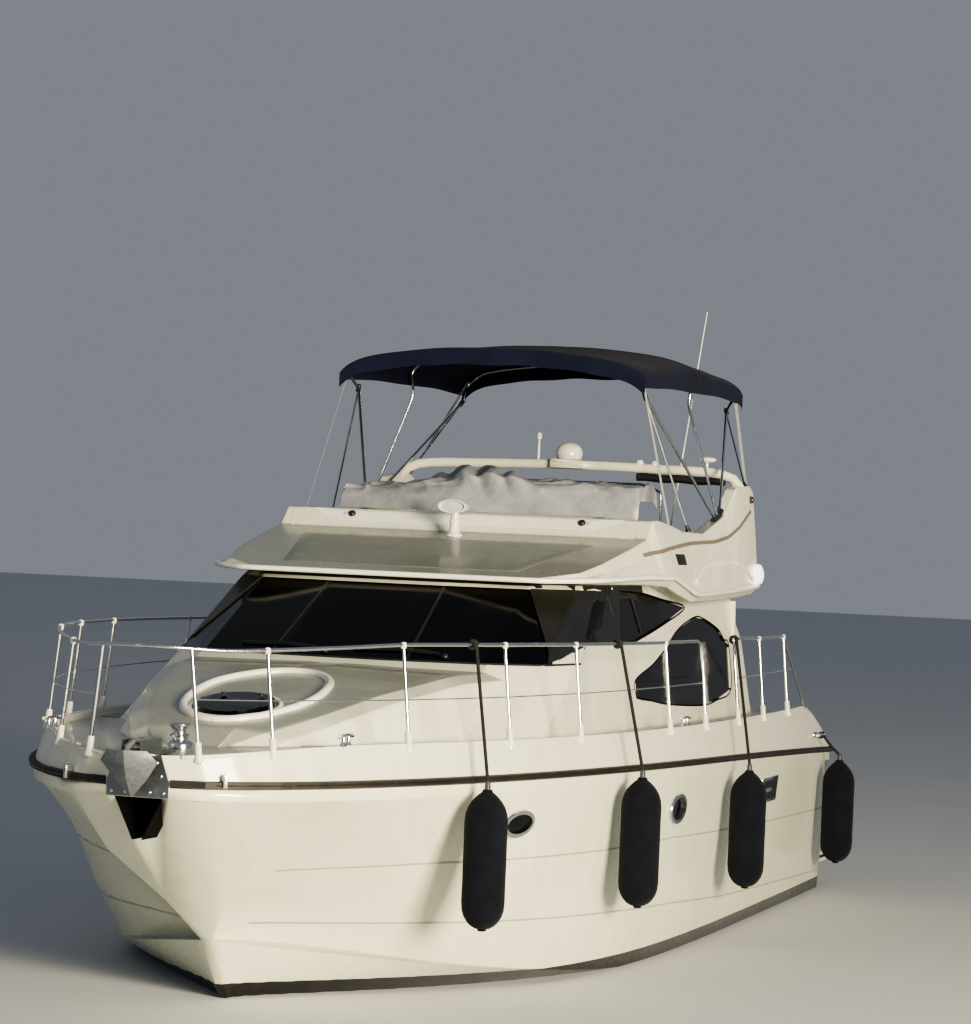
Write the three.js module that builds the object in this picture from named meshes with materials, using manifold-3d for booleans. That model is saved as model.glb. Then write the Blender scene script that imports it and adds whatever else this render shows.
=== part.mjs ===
import * as THREE from 'three';
import { mergeVertices } from 'three/addons/utils/BufferGeometryUtils.js';
import Module from 'manifold-3d';

// A motor yacht with a flying bridge, afloat. Millimetres, +X to the bow, +Y to port, +Z up.
// The origin is on the centreline at the waterline, amidships.

// Driving dimensions of the hull
const TRANSOM_X = -5567;
const BOW_X = 5750;
const BOW_HALF_WIDTH = 210;
const STEM_WATER_X = 4217;
const STEM_KNUCKLE_Z = 1110;
const BEAM_X = -800;
const HALF_BEAM = 2037;
const TRANSOM_HALF_BEAM = 1847;
const SHEER_TRANSOM_Z = 1246;
const SHEER_MID_Z = 1420;
const SHEER_BOW_Z = 1486;
const KEEL_Z = -740;
const KEEL_TRANSOM_Z = -560;
const CHINE_AFT_Z = -80;
const CHINE_STEM_Z = 405;
const CHINE_HALF_WIDTH = 1790;
const STEM_HALF_WIDTH = 30;
const BAND_HEIGHT = 100;
const BAND_STEP = 20;
const BAND_STEP_BOW = 60;
const HULL_STATIONS = 26;

// Driving dimensions of the deck, cabin and flying bridge
const GUNWALE_AFT_Z = 1650;
const GUNWALE_FORE_Z = 1715;
const GUNWALE_WIDTH = 50;
const GUNWALE_LEAN = 0.35;
const DECK_DROP = 45;
const WELL_FORE_X = 1650;
const WELL_AFT_X = -5230;
const WELL_HALF_WIDTH = 1400;
const SOLE_Z = 720;
const SOLE_THICKNESS = 80;
const SOLE_FORE_X = -2700;
const SALOON_SOLE_Z = 800;
const BAY_FLOOR_Z = -180;
const CABIN_AFT_X = -3300;
const CABIN_WALL = 60;
const CABIN_FOOT_Z = 1520;
const CABIN_TOP_Z = 2700;
const DOOR_HALF_WIDTH = 900;
const DOOR_TOP_Z = 2560;
const GLASS_THICKNESS = 12;
const FLY_FLOOR_Z = 2880;
const FLY_AFT_X = -4400;
const GATE_Y = 1050;
const GATE_HALF_WIDTH = 300;
const HATCH_X = 4220;
const HATCH_RADIUS = 255;
const HATCH_HINGE_X = 4482;
const HATCH_LIP = 6;
const GAP = 0.4;

// Driving dimensions of the gear
const FENDER_LENGTH = 900;
const FENDER_RADIUS = 140;
const RAIL_AFT_Z = 2270;
const RAIL_FORE_Z = 2335;
const RAIL_RADIUS = 13;
const WIRE_Z = 1990;
const SHAFT_Y = 620;
const RUDDER_X = -5120;
const RUDDER_BOSS_Z = -420;
const PROPELLER_X = -4640;
const PROPELLER_Z = -700;
const SHAFT_ANGLE = (8.5 * Math.PI) / 180;
const PLATFORM_LENGTH = 740;
const PLATFORM_HALF_WIDTH = 1760;
const PLATFORM_TOP_Z = 300;

const wasm = await Module();
wasm.setup();

function paint(color, roughness, metalness = 0) {
  return new THREE.MeshStandardMaterial({ color, roughness, metalness });
}

const gelcoat = paint(0xe9e8de, 0.3);
const gelcoatShade = paint(0xd9d8ce, 0.5);
const darkGlass = paint(0x0b0c0e, 0.08);
const steel = paint(0xc9cdd0, 0.22, 1);
const rubber = paint(0x1a1513, 0.6);
const navyCanvas = paint(0x131c3a, 0.9);
const tarpCloth = paint(0xb4b3aa, 0.8);
const fenderCloth = paint(0x12151f, 0.85);
const bronze = paint(0xa27b40, 0.4, 1);
const vinyl = paint(0xd8d2c2, 0.6);
const teak = paint(0x8a6844, 0.7);
const engineGrey = paint(0x5b6268, 0.6);
const blackPlastic = paint(0x17181a, 0.5);
const ropeBlack = paint(0x14130f, 0.9);

// Solids and meshes

function solid(geometry) {
  const merged = geometry.clone();
  for (const name of Object.keys(merged.attributes)) {
    if (name !== 'position') merged.deleteAttribute(name);
  }
  const joined = mergeVertices(merged, 0.001);
  const vertProperties = new Float32Array(joined.attributes.position.array);
  const triVerts = new Uint32Array(joined.index.array);
  return new wasm.Manifold(new wasm.Mesh({ numProp: 3, vertProperties, triVerts }));
}

function geometryOf(body) {
  const { vertProperties, triVerts } = body.getMesh();
  const geometry = new THREE.BufferGeometry();
  geometry.setAttribute('position', new THREE.BufferAttribute(new Float32Array(vertProperties), 3));
  geometry.setIndex(new THREE.BufferAttribute(new Uint32Array(triVerts), 1));
  return geometry;
}

function moved(body, x, y, z) {
  return solid(geometryOf(body).translate(x, y, z));
}

function mirrored(body) {
  const geometry = geometryOf(body);
  const { position } = geometry.attributes;
  for (let i = 0; i < position.count; i += 1) position.setY(i, -position.getY(i));
  geometry.setIndex(Array.from(geometry.index.array).reverse());
  return solid(geometry);
}

function joined(bodies) {
  return bodies.reduce((sum, body) => sum.add(body));
}

// A body with a piece of its neighbour, moved by the gap, taken out of it.
function seated(body, neighbour, x = 0, y = 0, z = GAP) {
  return body.subtract(moved(neighbour, x, y, z));
}

function box(x0, x1, y0, y1, z0, z1) {
  const geometry = new THREE.BoxGeometry(x1 - x0, y1 - y0, z1 - z0);
  geometry.translate((x0 + x1) / 2, (y0 + y1) / 2, (z0 + z1) / 2);
  return solid(geometry);
}

// A straight round bar between two points.
function rod(from, to, radius, sides = 8, endRadius = radius) {
  const a = new THREE.Vector3(...from);
  const b = new THREE.Vector3(...to);
  const geometry = new THREE.CylinderGeometry(endRadius, radius, a.distanceTo(b), sides);
  const along = b.clone().sub(a).normalize();
  geometry.applyQuaternion(new THREE.Quaternion().setFromUnitVectors(new THREE.Vector3(0, 1, 0), along));
  geometry.translate((a.x + b.x) / 2, (a.y + b.y) / 2, (a.z + b.z) / 2);
  return solid(geometry);
}

// A bent round bar through a few points.
function tube(points, radius, steps, sides = 8) {
  const path = new THREE.CatmullRomCurve3(points.map((p) => new THREE.Vector3(...p)), false, 'centripetal');
  const section = new THREE.Shape();
  section.absarc(0, 0, radius, 0, Math.PI * 2);
  const options = { steps, extrudePath: path, curveSegments: sides / 2, bevelEnabled: false };
  return solid(new THREE.ExtrudeGeometry(section, options));
}

// An outline in X and Z, thick along Y.
function sidePlate(outline, y0, y1) {
  const shape = new THREE.Shape(outline.map(([x, z]) => new THREE.Vector2(x, z)));
  const geometry = new THREE.ExtrudeGeometry(shape, { depth: y1 - y0, bevelEnabled: false });
  geometry.rotateX(Math.PI / 2);
  geometry.translate(0, y1, 0);
  return solid(geometry);
}

// An outline in X and Y, thick along Z.
function floorPlate(outline, z0, z1) {
  const shape = new THREE.Shape(outline.map(([x, y]) => new THREE.Vector2(x, y)));
  const geometry = new THREE.ExtrudeGeometry(shape, { depth: z1 - z0, bevelEnabled: false });
  geometry.translate(0, 0, z0);
  return solid(geometry);
}

// A body turned round a vertical line: profile rows are radius, height.
function turned(profile, x, y, z, sides = 12) {
  const points = profile.map(([r, h]) => new THREE.Vector2(r, h));
  return solid(new THREE.LatheGeometry(points, sides).rotateX(Math.PI / 2).translate(x, y, z));
}

// A point shifted a hair off any straight line, so that an end's triangles use every point of it.
function bowed(a, b) {
  return new THREE.Vector2(a + 1e-7 * b * b, b + 1e-7 * a * a);
}

// A closed skin over rings of equally many points, with flat ends. Two axes say how an end is seen.
function loft(rings, across, up) {
  const count = rings[0].length;
  const positions = rings.flat(2);
  const faces = [];
  for (let i = 0; i + 1 < rings.length; i += 1) {
    for (let j = 0; j < count; j += 1) {
      const k = (j + 1) % count;
      const [a, b, c, d] = [i * count + j, i * count + k, (i + 1) * count + k, (i + 1) * count + j];
      faces.push([a, b, c], [a, c, d]);
    }
  }
  const last = rings.length - 1;
  for (const ring of [0, last]) {
    const outline = rings[ring].map((p) => bowed(p[across], p[up]));
    const ringTurn = Math.sign(THREE.ShapeUtils.area(outline)) * (ring === 0 ? -1 : 1);
    for (const [a, b, c] of THREE.ShapeUtils.triangulateShape(outline, [])) {
      const turn = Math.sign(THREE.ShapeUtils.area([outline[a], outline[b], outline[c]]));
      const face = turn === ringTurn ? [a, b, c] : [a, c, b];
      faces.push(face.map((index) => index + ring * count));
    }
  }
  let volume = 0;
  const at = (index) => new THREE.Vector3().fromArray(positions, index * 3);
  for (const [a, b, c] of faces) volume += at(a).dot(at(b).cross(at(c)));
  const index = volume > 0 ? faces.flat() : faces.map(([a, b, c]) => [a, c, b]).flat();
  const geometry = new THREE.BufferGeometry();
  geometry.setAttribute('position', new THREE.Float32BufferAttribute(positions, 3));
  geometry.setIndex(index);
  return solid(geometry);
}

// A ring for loft from its port half, listed from the bottom up.
function bothSides(half) {
  return [...half, ...half.map(([x, y, z]) => [x, -y, z]).reverse()];
}

const yacht = new THREE.Group();

function add(name, body, material) {
  const mesh = new THREE.Mesh(geometryOf(body), material);
  mesh.name = name;
  yacht.add(mesh);
}

// Lines of the hull

function mix(a, b, t) {
  return a + (b - a) * t;
}

function limited(t) {
  return Math.min(1, Math.max(0, t));
}

function stemX(z) {
  return STEM_WATER_X + 1333 * (z / 1400) ** 1.12;
}

function sheerZ(x) {
  const u = (x - TRANSOM_X) / (5611 - TRANSOM_X);
  const aft = (SHEER_TRANSOM_Z * (u - 0.45) * (u - 1)) / 0.45;
  const middle = (SHEER_MID_Z * u * (u - 1)) / (0.45 * (0.45 - 1));
  const fore = (SHEER_BOW_Z * u * (u - 0.45)) / 0.55;
  return aft + middle + fore;
}

function sheerY(x) {
  if (x > BEAM_X) {
    const s = (BOW_X - x) / (BOW_X - BEAM_X);
    return BOW_HALF_WIDTH + (HALF_BEAM - BOW_HALF_WIDTH) * (1 - (1 - s) ** 2.4) ** 0.6;
  }
  const t = (BEAM_X - x) / (BEAM_X - TRANSOM_X);
  return HALF_BEAM - (HALF_BEAM - TRANSOM_HALF_BEAM) * t ** 2;
}

function keelZ(x) {
  if (x < 1000) return mix(KEEL_Z, KEEL_TRANSOM_Z, limited((1000 - x) / (1000 - TRANSOM_X)) ** 2);
  return KEEL_Z * (1 - ((x - 1000) / (STEM_WATER_X - 1000)) ** 2.2);
}

const CHINE_STEM_X = stemX(CHINE_STEM_Z);

function chineZ(x) {
  return mix(CHINE_AFT_Z, CHINE_STEM_Z, limited((x + 1000) / (CHINE_STEM_X + 1000)) ** 2);
}

function chineY(x) {
  const s = limited((CHINE_STEM_X - x) / 5900);
  const narrowing = 60 * limited((-1500 - x) / 4000);
  return mix(STEM_HALF_WIDTH, CHINE_HALF_WIDTH, 1 - (1 - s) ** 3.7) - narrowing;
}

// The band below the sheer stands out from the topsides, most at the bow.
function bandStep(t) {
  return mix(BAND_STEP, BAND_STEP_BOW, limited((t - 0.85) / 0.15));
}

// One height on the topsides: share 0 at the chine and 1 under the band below the sheer.
function sidePoint(t, share) {
  const endZ = mix(CHINE_STEM_Z, STEM_KNUCKLE_Z, share);
  const x = mix(TRANSOM_X, mix(stemX(endZ), BOW_X - 120, share ** 6), t);
  const low = Math.min(x, CHINE_STEM_X);
  const fullness = mix(0.66, 0.7, limited((x + 500) / 5500));
  const y = mix(chineY(low) + 45, sheerY(x) - bandStep(t), share ** fullness);
  const stemWidth = mix(STEM_HALF_WIDTH, BOW_HALF_WIDTH - bandStep(t), share ** 6);
  const nearStem = limited((t - 0.8) / 0.2) ** 3;
  const z = mix(mix(chineZ(low) + 12, sheerZ(x) - BAND_HEIGHT - 15, share), endZ, nearStem * (1 - share));
  return [x, mix(y, stemWidth, nearStem * (1 - share)), z];
}

function hullRing(t) {
  const keelX = mix(TRANSOM_X, STEM_WATER_X, t);
  const chineX = mix(TRANSOM_X, CHINE_STEM_X, t);
  const topX = mix(TRANSOM_X, BOW_X, t);
  const half = [[keelX, 22, keelZ(keelX)], [chineX, chineY(chineX), chineZ(chineX)]];
  for (const share of [0, 0.33, 0.66, 1]) half.push(sidePoint(t, share));
  half.push([topX, sheerY(topX), sheerZ(topX) - BAND_HEIGHT], [topX, sheerY(topX), sheerZ(topX)]);
  return bothSides(half);
}

// Stations crowd together towards the bow, where the lines bend most, with three more for the drop at the stern.
const evenShares = Array.from({ length: HULL_STATIONS }, (_, i) => 1 - (1 - i / (HULL_STATIONS - 1)) ** 1.6);
const stationShares = [...evenShares, 0.02, 0.04, 0.085].sort((a, b) => a - b);

// Hull: one moulding up to the sheer, with an anchor pocket in the stem and a well from the cockpit to the saloon
const hullForm = loft(stationShares.map(hullRing), 1, 2);
const well = box(WELL_AFT_X, WELL_FORE_X, -WELL_HALF_WIDTH, WELL_HALF_WIDTH, SOLE_Z, 2000);
const soleSeatZ = SOLE_Z - SOLE_THICKNESS;
const soleSeat = box(WELL_AFT_X, SOLE_FORE_X, -WELL_HALF_WIDTH, WELL_HALF_WIDTH, soleSeatZ, SOLE_Z + 1);
const engineBay = box(-5000, SOLE_FORE_X - 60, -980, 980, BAY_FLOOR_Z, soleSeatZ + 1);
const gateCut = box(
  TRANSOM_X - 50,
  WELL_AFT_X + 10,
  GATE_Y - GATE_HALF_WIDTH,
  GATE_Y + GATE_HALF_WIDTH,
  SOLE_Z,
  2000,
);
const pocketHalf = [[BOW_X + 60, 31, 1125], [BOW_X + 60, 158, SHEER_BOW_Z - BAND_HEIGHT]];
const pocketEnd = pocketHalf.map(([, y, z]) => [BOW_X - 260, y, z]);
const pocket = loft([bothSides(pocketEnd), bothSides(pocketHalf)], 1, 2);
let hull = hullForm.subtract(well).subtract(soleSeat).subtract(engineBay).subtract(gateCut).subtract(pocket);
for (const sign of [1, -1]) {
  hull = hull.add(rod([RUDDER_X, sign * SHAFT_Y, -250], [RUDDER_X, sign * SHAFT_Y, RUDDER_BOSS_Z], 60, 12));
}
add('hull', hull, gelcoat);

// Cockpit sole: a panel on the ledge over the engines, with a hatch in it
const hatchSeat = box(-4600, -3600, -560, 560, SOLE_Z - 40, SOLE_Z + 1);
const hatchHole = box(-4560, -3640, -520, 520, soleSeatZ - 1, SOLE_Z);
const solePanel = box(
  WELL_AFT_X + GAP,
  SOLE_FORE_X - GAP,
  -WELL_HALF_WIDTH + GAP,
  WELL_HALF_WIDTH - GAP,
  soleSeatZ + GAP,
  SOLE_Z,
);
const sole = solePanel.subtract(hatchSeat).subtract(hatchHole);
add('cockpit_sole', sole, gelcoatShade);

// Deck moulding: bulwark, side decks, foredeck and its trunk
function gunwaleZ(x) {
  const rise = mix(GUNWALE_AFT_Z, GUNWALE_FORE_Z, limited((x + 4000) / 8000));
  return rise - 70 * limited((x - 4600) / 1150) ** 2 - 320 * limited((-4600 - x) / 967) ** 2;
}

function gunwaleY(x) {
  return sheerY(x) - GUNWALE_LEAN * (gunwaleZ(x) - sheerZ(x));
}

function deckRing(t) {
  const x = mix(TRANSOM_X, BOW_X, t);
  const [y, z] = [gunwaleY(x), gunwaleZ(x)];
  const half = [[x, sheerY(x) - 0.2, sheerZ(x) + GAP], [x, y, z], [x, y - GUNWALE_WIDTH, z]];
  half.push([x, y - GUNWALE_WIDTH - 12, z - DECK_DROP]);
  return bothSides(half);
}

// Cabin outline at a height: the front leans back as it rises and the sides lean in.
function cabinRing(z, inset) {
  const share = (z - 1500) / (CABIN_TOP_Z - 1500);
  const front = mix(3640, 1290, share) - inset * 1.6;
  const corner = front - 560;
  const width = mix(1530, 1410, share) - inset;
  const aft = CABIN_AFT_X + inset;
  const half = [[aft, width], [-1000, width], [corner - 500, width - 25], [corner + 60, width - 110]];
  half.push([corner + 400, width * 0.72], [front, width * 0.3]);
  return [...half, ...half.map(([x, y]) => [x, -y]).reverse()].map(([x, y]) => [x, y, z]);
}

function cabinBody(inset, z0, z1) {
  return loft([z0, mix(z0, z1, 0.5), z1].map((z) => cabinRing(z, inset)), 0, 1);
}

// Trunk on the foredeck: rows are distance forward, half width at the deck, half width on top, height on top.
const trunkRows = [
  [5020, 420, 300, 1640],
  [4700, 640, 520, 1760],
  [4300, 860, 700, 1850],
  [3600, 1120, 900, 1985],
  [2800, 1300, 1100, 2090],
  [1700, 1440, 1300, 2120],
];
const trunk = loft(trunkRows.map(([x, low, high, z]) => bothSides([
  [x, low, 1480],
  [x, high, z - 60],
  [x, high - 120, z - 8],
  [x, 200, z + 12],
])), 1, 2);

const cabinRoom = cabinBody(CABIN_WALL, CABIN_FOOT_Z - 10, CABIN_TOP_Z + 40);
const hatchPit = rod([HATCH_X, 0, 1500], [HATCH_X, 0, 2200], HATCH_RADIUS - 40, 20);
const deckForm = seated(loft(stationShares.map(deckRing), 1, 2).add(trunk), hullForm).subtract(well);
let deck = deckForm.subtract(cabinRoom).subtract(gateCut).subtract(hatchPit);

// Mooring cleats: rows are distance forward, and the Y and Z of the foot and of the horn
const CLEAT_REACH = 62;
function gunwaleCleat(x) {
  const [y, z] = [gunwaleY(x) - GUNWALE_WIDTH / 2, gunwaleZ(x)];
  return [x, [y, z - 30], [y, z + CLEAT_REACH]];
}
// The stern cleat stands out from the side of the bulwark.
function bulwarkCleat(x, drop) {
  const [y, z] = [gunwaleY(x) + GUNWALE_LEAN * drop, gunwaleZ(x) - drop];
  return [x, [y - 30, z], [y + CLEAT_REACH, z]];
}
const sternCleat = bulwarkCleat(-4840, 230);
for (const [x, foot, head] of [gunwaleCleat(4850), gunwaleCleat(0), sternCleat]) {
  const horn = rod([x - 130, ...head], [x + 130, ...head], 11, 6);
  const legs = [-45, 45].map((dx) => rod([x + dx, ...foot], [x + dx, ...head], 13, 6));
  const cleat = joined([horn, ...legs]);
  deck = deck.add(cleat).add(mirrored(cleat));
}
add('deck', deck, gelcoat);

// Cabin: walls, the bulkhead round the saloon door and a wing on each side aft of it
const windscreenOutline = [[4000, 2150], [4000, 2662], [930, 2662], [1700, 2150]];
const foreSideOutline = [
  [867, 2662],
  [0, 2662],
  [-500, 2640],
  [-1100, 2585],
  [-1750, 2520],
  [-1050, 2395],
  [-470, 2310],
  [-100, 2275],
  [650, 2280],
  [1000, 2290],
  [1600, 2175],
];
const aftSideOutline = [
  [-180, 1860],
  [-170, 1990],
  [-680, 2095],
  [-1070, 2205],
  [-1500, 2350],
  [-2050, 2440],
  [-2380, 2420],
  [-2830, 2330],
  [-3000, 2245],
  [-3150, 2200],
  [-3150, 1830],
  [-2650, 1760],
  [-2150, 1735],
  [-1100, 1780],
  [-550, 1830],
];
const wingOutline = [
  [CABIN_AFT_X + 1, 2560],
  [-3330, 2370],
  [-3560, 2230],
  [-3950, 1700],
  [-4080, 1560],
  [CABIN_AFT_X + 1, 1560],
];

function shrunk(outline, by) {
  return new wasm.CrossSection([outline], 'EvenOdd').offset(-by, 'Miter').toPolygons()[0];
}

const sideWindows = { fore_side_window: foreSideOutline, aft_side_window: aftSideOutline };
const bulkheadEdge = WELL_HALF_WIDTH - GAP;
const bulkhead = box(
  CABIN_AFT_X,
  CABIN_AFT_X + CABIN_WALL,
  -bulkheadEdge,
  bulkheadEdge,
  SOLE_Z + GAP,
  CABIN_FOOT_Z + 10,
);
let cabin = cabinBody(0, CABIN_FOOT_Z, CABIN_TOP_Z).subtract(cabinRoom).add(bulkhead);
const portWing = sidePlate(wingOutline, WELL_HALF_WIDTH + 10, WELL_HALF_WIDTH + 70);
cabin = seated(cabin.add(portWing).add(mirrored(portWing)), deckForm);
cabin = cabin.subtract(sidePlate(windscreenOutline, -3000, 3000));
for (const outline of Object.values(sideWindows)) {
  cabin = cabin.subtract(sidePlate(outline, 900, 3000)).subtract(sidePlate(outline, -3000, -900));
}
const doorway = box(
  CABIN_AFT_X - 60,
  CABIN_AFT_X + 160,
  -DOOR_HALF_WIDTH,
  DOOR_HALF_WIDTH,
  SOLE_Z,
  DOOR_TOP_Z,
);
cabin = cabin.subtract(doorway);
add('cabin', cabin, gelcoat);

// Glass set in the openings
const paneSkin = cabinBody(10, 1500, CABIN_TOP_Z).subtract(cabinBody(10 + GLASS_THICKNESS, 1490, CABIN_TOP_Z + 10));
const screenTrim = sidePlate(shrunk(windscreenOutline, GAP), -3000, 3000);
add('windscreen', paneSkin.intersect(screenTrim), darkGlass);
for (const [name, outline] of Object.entries(sideWindows)) {
  const pane = paneSkin.intersect(sidePlate(shrunk(outline, GAP), 900, 3000));
  add(`${name}_port`, pane, darkGlass);
  add(`${name}_starboard`, mirrored(pane), darkGlass);
}

// Saloon entrance: a fixed pane on the bulkhead to starboard and a door that slides in front of it
function framedPane(x0, y0, y1, low, high) {
  const frame = box(x0, x0 + 35, y0, y1, low, high);
  return frame.subtract(box(x0 + 10, x0 + 45, y0 + 50, y1 - 50, low + 90, high - 60));
}
const paneX = CABIN_AFT_X + CABIN_WALL + GAP;
const fixedPane = framedPane(paneX, -DOOR_HALF_WIDTH - 60, 20, SOLE_Z + GAP, DOOR_TOP_Z + 30);
add('saloon_bulkhead_pane', fixedPane, darkGlass);
const doorRunners = [120, 760].map((y) => box(
  CABIN_AFT_X + 26,
  CABIN_AFT_X + 50,
  y - 40,
  y + 40,
  SOLE_Z + GAP,
  SOLE_Z + 10,
));
const door = framedPane(CABIN_AFT_X + 19, -20, DOOR_HALF_WIDTH - 5, SOLE_Z + 6, DOOR_TOP_Z - 6);
add('saloon_door', joined([door, ...doorRunners]), darkGlass);

// Flying bridge moulding: rows are distance forward, low edge height, half width low and high,
// coaming height, floor height
const flyRows = [
  [1330, 2712, 1120, 1040, 2735, 2735],
  [1050, 2712, 1440, 1350, 2790, 2790],
  [700, 2712, 1520, 1420, 2860, 2860],
  [0, 2712, 1590, 1470, 2990, 2990],
  [-330, 2705, 1615, 1480, 3050, 3045],
  [-480, 2698, 1625, 1480, 3190, 3190],
  [-620, 2692, 1632, 1480, 3195, 3195],
  [-640, 2690, 1633, 1480, 3195, FLY_FLOOR_Z],
  [-1000, 2620, 1642, 1490, 3160, FLY_FLOOR_Z],
  [-1300, 2570, 1650, 1500, 3120, FLY_FLOOR_Z],
  [-1900, 2580, 1655, 1520, 3110, FLY_FLOOR_Z],
  [-2500, 2590, 1650, 1540, 3260, FLY_FLOOR_Z],
  [-2850, 2597, 1645, 1545, 3500, FLY_FLOOR_Z],
  [-3300, 2615, 1625, 1548, 3525, FLY_FLOOR_Z],
  [-3450, 2620, 1620, 1545, 3480, FLY_FLOOR_Z],
  [-3560, 2640, 1590, 1530, 3010, FLY_FLOOR_Z],
  [-3900, 2680, 1480, 1440, 2980, FLY_FLOOR_Z],
  [-4200, 2730, 1330, 1300, 2960, FLY_FLOOR_Z],
  [FLY_AFT_X, 2760, 1130, 1100, 2950, FLY_FLOOR_Z],
];
function flyRing([x, low, wide, high, top, floor]) {
  const under = Math.max(low, CABIN_TOP_Z + GAP);
  return bothSides([
    [x, 30, under],
    [x, Math.min(1440, wide - 120), under],
    [x, wide - 60, low],
    [x, wide, low + Math.min(70, (top - low) * 0.3)],
    [x, mix(wide, high, 0.55), mix(low, top, 0.62)],
    [x, high, top],
    [x, high - 90, top],
    [x, high - 110, floor],
    [x, 30, floor],
  ]);
}
const cabinShell = cabinBody(0, CABIN_FOOT_Z, CABIN_TOP_Z).subtract(cabinBody(CABIN_WALL, CABIN_FOOT_Z - 10, 2900));
const STAIR = { aftX: -4130, foreX: -3400, innerY: 680, outerY: 1190 };
const stairOpening = box(STAIR.aftX, STAIR.foreX, STAIR.innerY, STAIR.outerY, 2600, 3000);
const fly = seated(loft(flyRows.map(flyRing), 1, 2).subtract(stairOpening), cabinShell);
add('flybridge', fly, gelcoat);

// Rub strake round the sheer from the transom to the stem head: each row is how far a corner of its section
// stands out from the hull, and its height from the sheer. It tapers in over its last stretch.
const strakeRows = [[1, -34], [34, -22], [34, 12], [1, 18]];
const STRAKE_END_REACH = 14;
function strakeRing(t) {
  const x = mix(TRANSOM_X + 1, BOW_X, t);
  const slope = (sheerY(x) - sheerY(x - 30)) / 30;
  const length = Math.hypot(slope, 1);
  return strakeRows.map(([out, up]) => {
    const reach = t < 1 ? out : Math.min(out, STRAKE_END_REACH);
    return [x - (reach * slope) / length, sheerY(x) + reach / length, sheerZ(x) + up];
  });
}
const strakePort = loft(stationShares.map(strakeRing), 1, 2).subtract(hull).subtract(deck);
add('rub_strake_port', strakePort, rubber);
add('rub_strake_starboard', mirrored(strakePort), rubber);

// Bow fitting: a polished plate over the stem head and the channel and roller that carry the anchor
const bowPlateRows = [[200, 1390], [200, 1489], [143, 1650]];
const bowPlateRing = (x) => bothSides(bowPlateRows.map(([y, z]) => [x, y, z]));
const CHANNEL_Z = 1656;
const ROLLER = { x: BOW_X + 100, z: 1690, radius: 22 };
const bowPlate = joined([
  loft([bowPlateRing(BOW_X + GAP), bowPlateRing(BOW_X + 8)], 1, 2),
  box(BOW_X - 420, BOW_X + 130, -62, 62, CHANNEL_Z - 20, CHANNEL_Z),
  box(BOW_X - 200, BOW_X + 130, -62, -56, CHANNEL_Z - 20, CHANNEL_Z + 80),
  box(BOW_X - 200, BOW_X + 130, 56, 62, CHANNEL_Z - 20, CHANNEL_Z + 80),
  rod([ROLLER.x, -60, ROLLER.z], [ROLLER.x, 60, ROLLER.z], ROLLER.radius, 12),
]);
const bowRoller = seated(seated(bowPlate, deck), hull, GAP, 0, 0);
add('bow_roller_plate', bowRoller, steel);

// Anchor: a shank along the channel and a plough in front of the stem. Plough rows are height, how far its
// ridge and its wings stand before the bow, and half width.
const shankOutline = [
  [BOW_X - 400, 1672],
  [BOW_X - 400, 1704],
  [BOW_X + 90, 1748],
  [BOW_X + 190, 1716],
  [BOW_X + 222, 1600],
  [BOW_X + 180, 1560],
  [BOW_X + 160, 1690],
  [BOW_X + 100, 1712 + GAP],
];
const ploughRows = [[1400, 100, 92, 12], [1500, 175, 118, 105], [1610, 222, 148, 185], [1680, 236, 188, 130]];
const plough = loft(ploughRows.map(([z, ridge, wing, half]) => [
  [BOW_X + ridge + 7, 0, z],
  [BOW_X + wing + 4, half, z],
  [BOW_X + wing - 5, half - 3, z],
  [BOW_X + ridge - 7, 0, z],
  [BOW_X + wing - 5, 3 - half, z],
  [BOW_X + wing + 4, -half, z],
]), 0, 1);
const anchor = joined([sidePlate(shankOutline, -11, 11), plough]);
add('anchor', seated(seated(anchor, bowRoller), deck), steel);

// Windlass on the foredeck
const windlassProfile = [[0, 0], [95, 0], [95, 40], [55, 60], [50, 130], [70, 145], [70, 165], [0, 170]];
add('windlass', seated(turned(windlassProfile, 5130, 0, 1640), deck), steel);

// Foredeck hatch: a round lid over its pit, hinged just clear of its forward edge
const HATCH_THICKNESS = 34;
const hatchOutline = rod([HATCH_X, 0, 1700], [HATCH_X, 0, 2100], HATCH_RADIUS, 28)
  .add(box(HATCH_X + HATCH_RADIUS - 20, HATCH_HINGE_X - HATCH_LIP, -60, 60, 1700, 2100));
const hatchLid = hatchOutline.intersect(moved(trunk, 0, 0, HATCH_THICKNESS + GAP));
add('foredeck_hatch', seated(hatchLid, trunk), darkGlass);

// Rails: feet stand on the bulwark's outer edge, posts lean in, and a wire runs half way up
function railTopZ(x) {
  return mix(RAIL_AFT_Z, RAIL_FORE_Z, limited((x + 4200) / 8000)) - 50 * limited((x - 4400) / 1150);
}
const FOOT_DEPTH = 50;
const RAIL_LEAN = 68;
function railPoint(x, z = railTopZ(x)) {
  const low = gunwaleZ(x) - FOOT_DEPTH;
  const lean = mix(8, 8 - RAIL_LEAN, (z - low) / (railTopZ(x) - low));
  return [x, gunwaleY(x) + lean, z];
}
function post(x) {
  const foot = gunwaleZ(x) - FOOT_DEPTH;
  return joined([
    rod(railPoint(x, foot), railPoint(x), RAIL_RADIUS, 6),
    rod(railPoint(x, foot + 4), railPoint(x, foot + 130), 30, 8, 20),
    rod(railPoint(x, railTopZ(x) - 22), railPoint(x, railTopZ(x) + 18), 20, 8),
  ]);
}
const BOW_POST_X = 5680;
const bowPostXs = [5350, 4370, 3300, 2300, 500];
const bowRailEndX = -500;
const bowRailXs = [5560, 5350, 4870, 4370, 3800, 3300, 2300, 1400, 500, -250];
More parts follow.
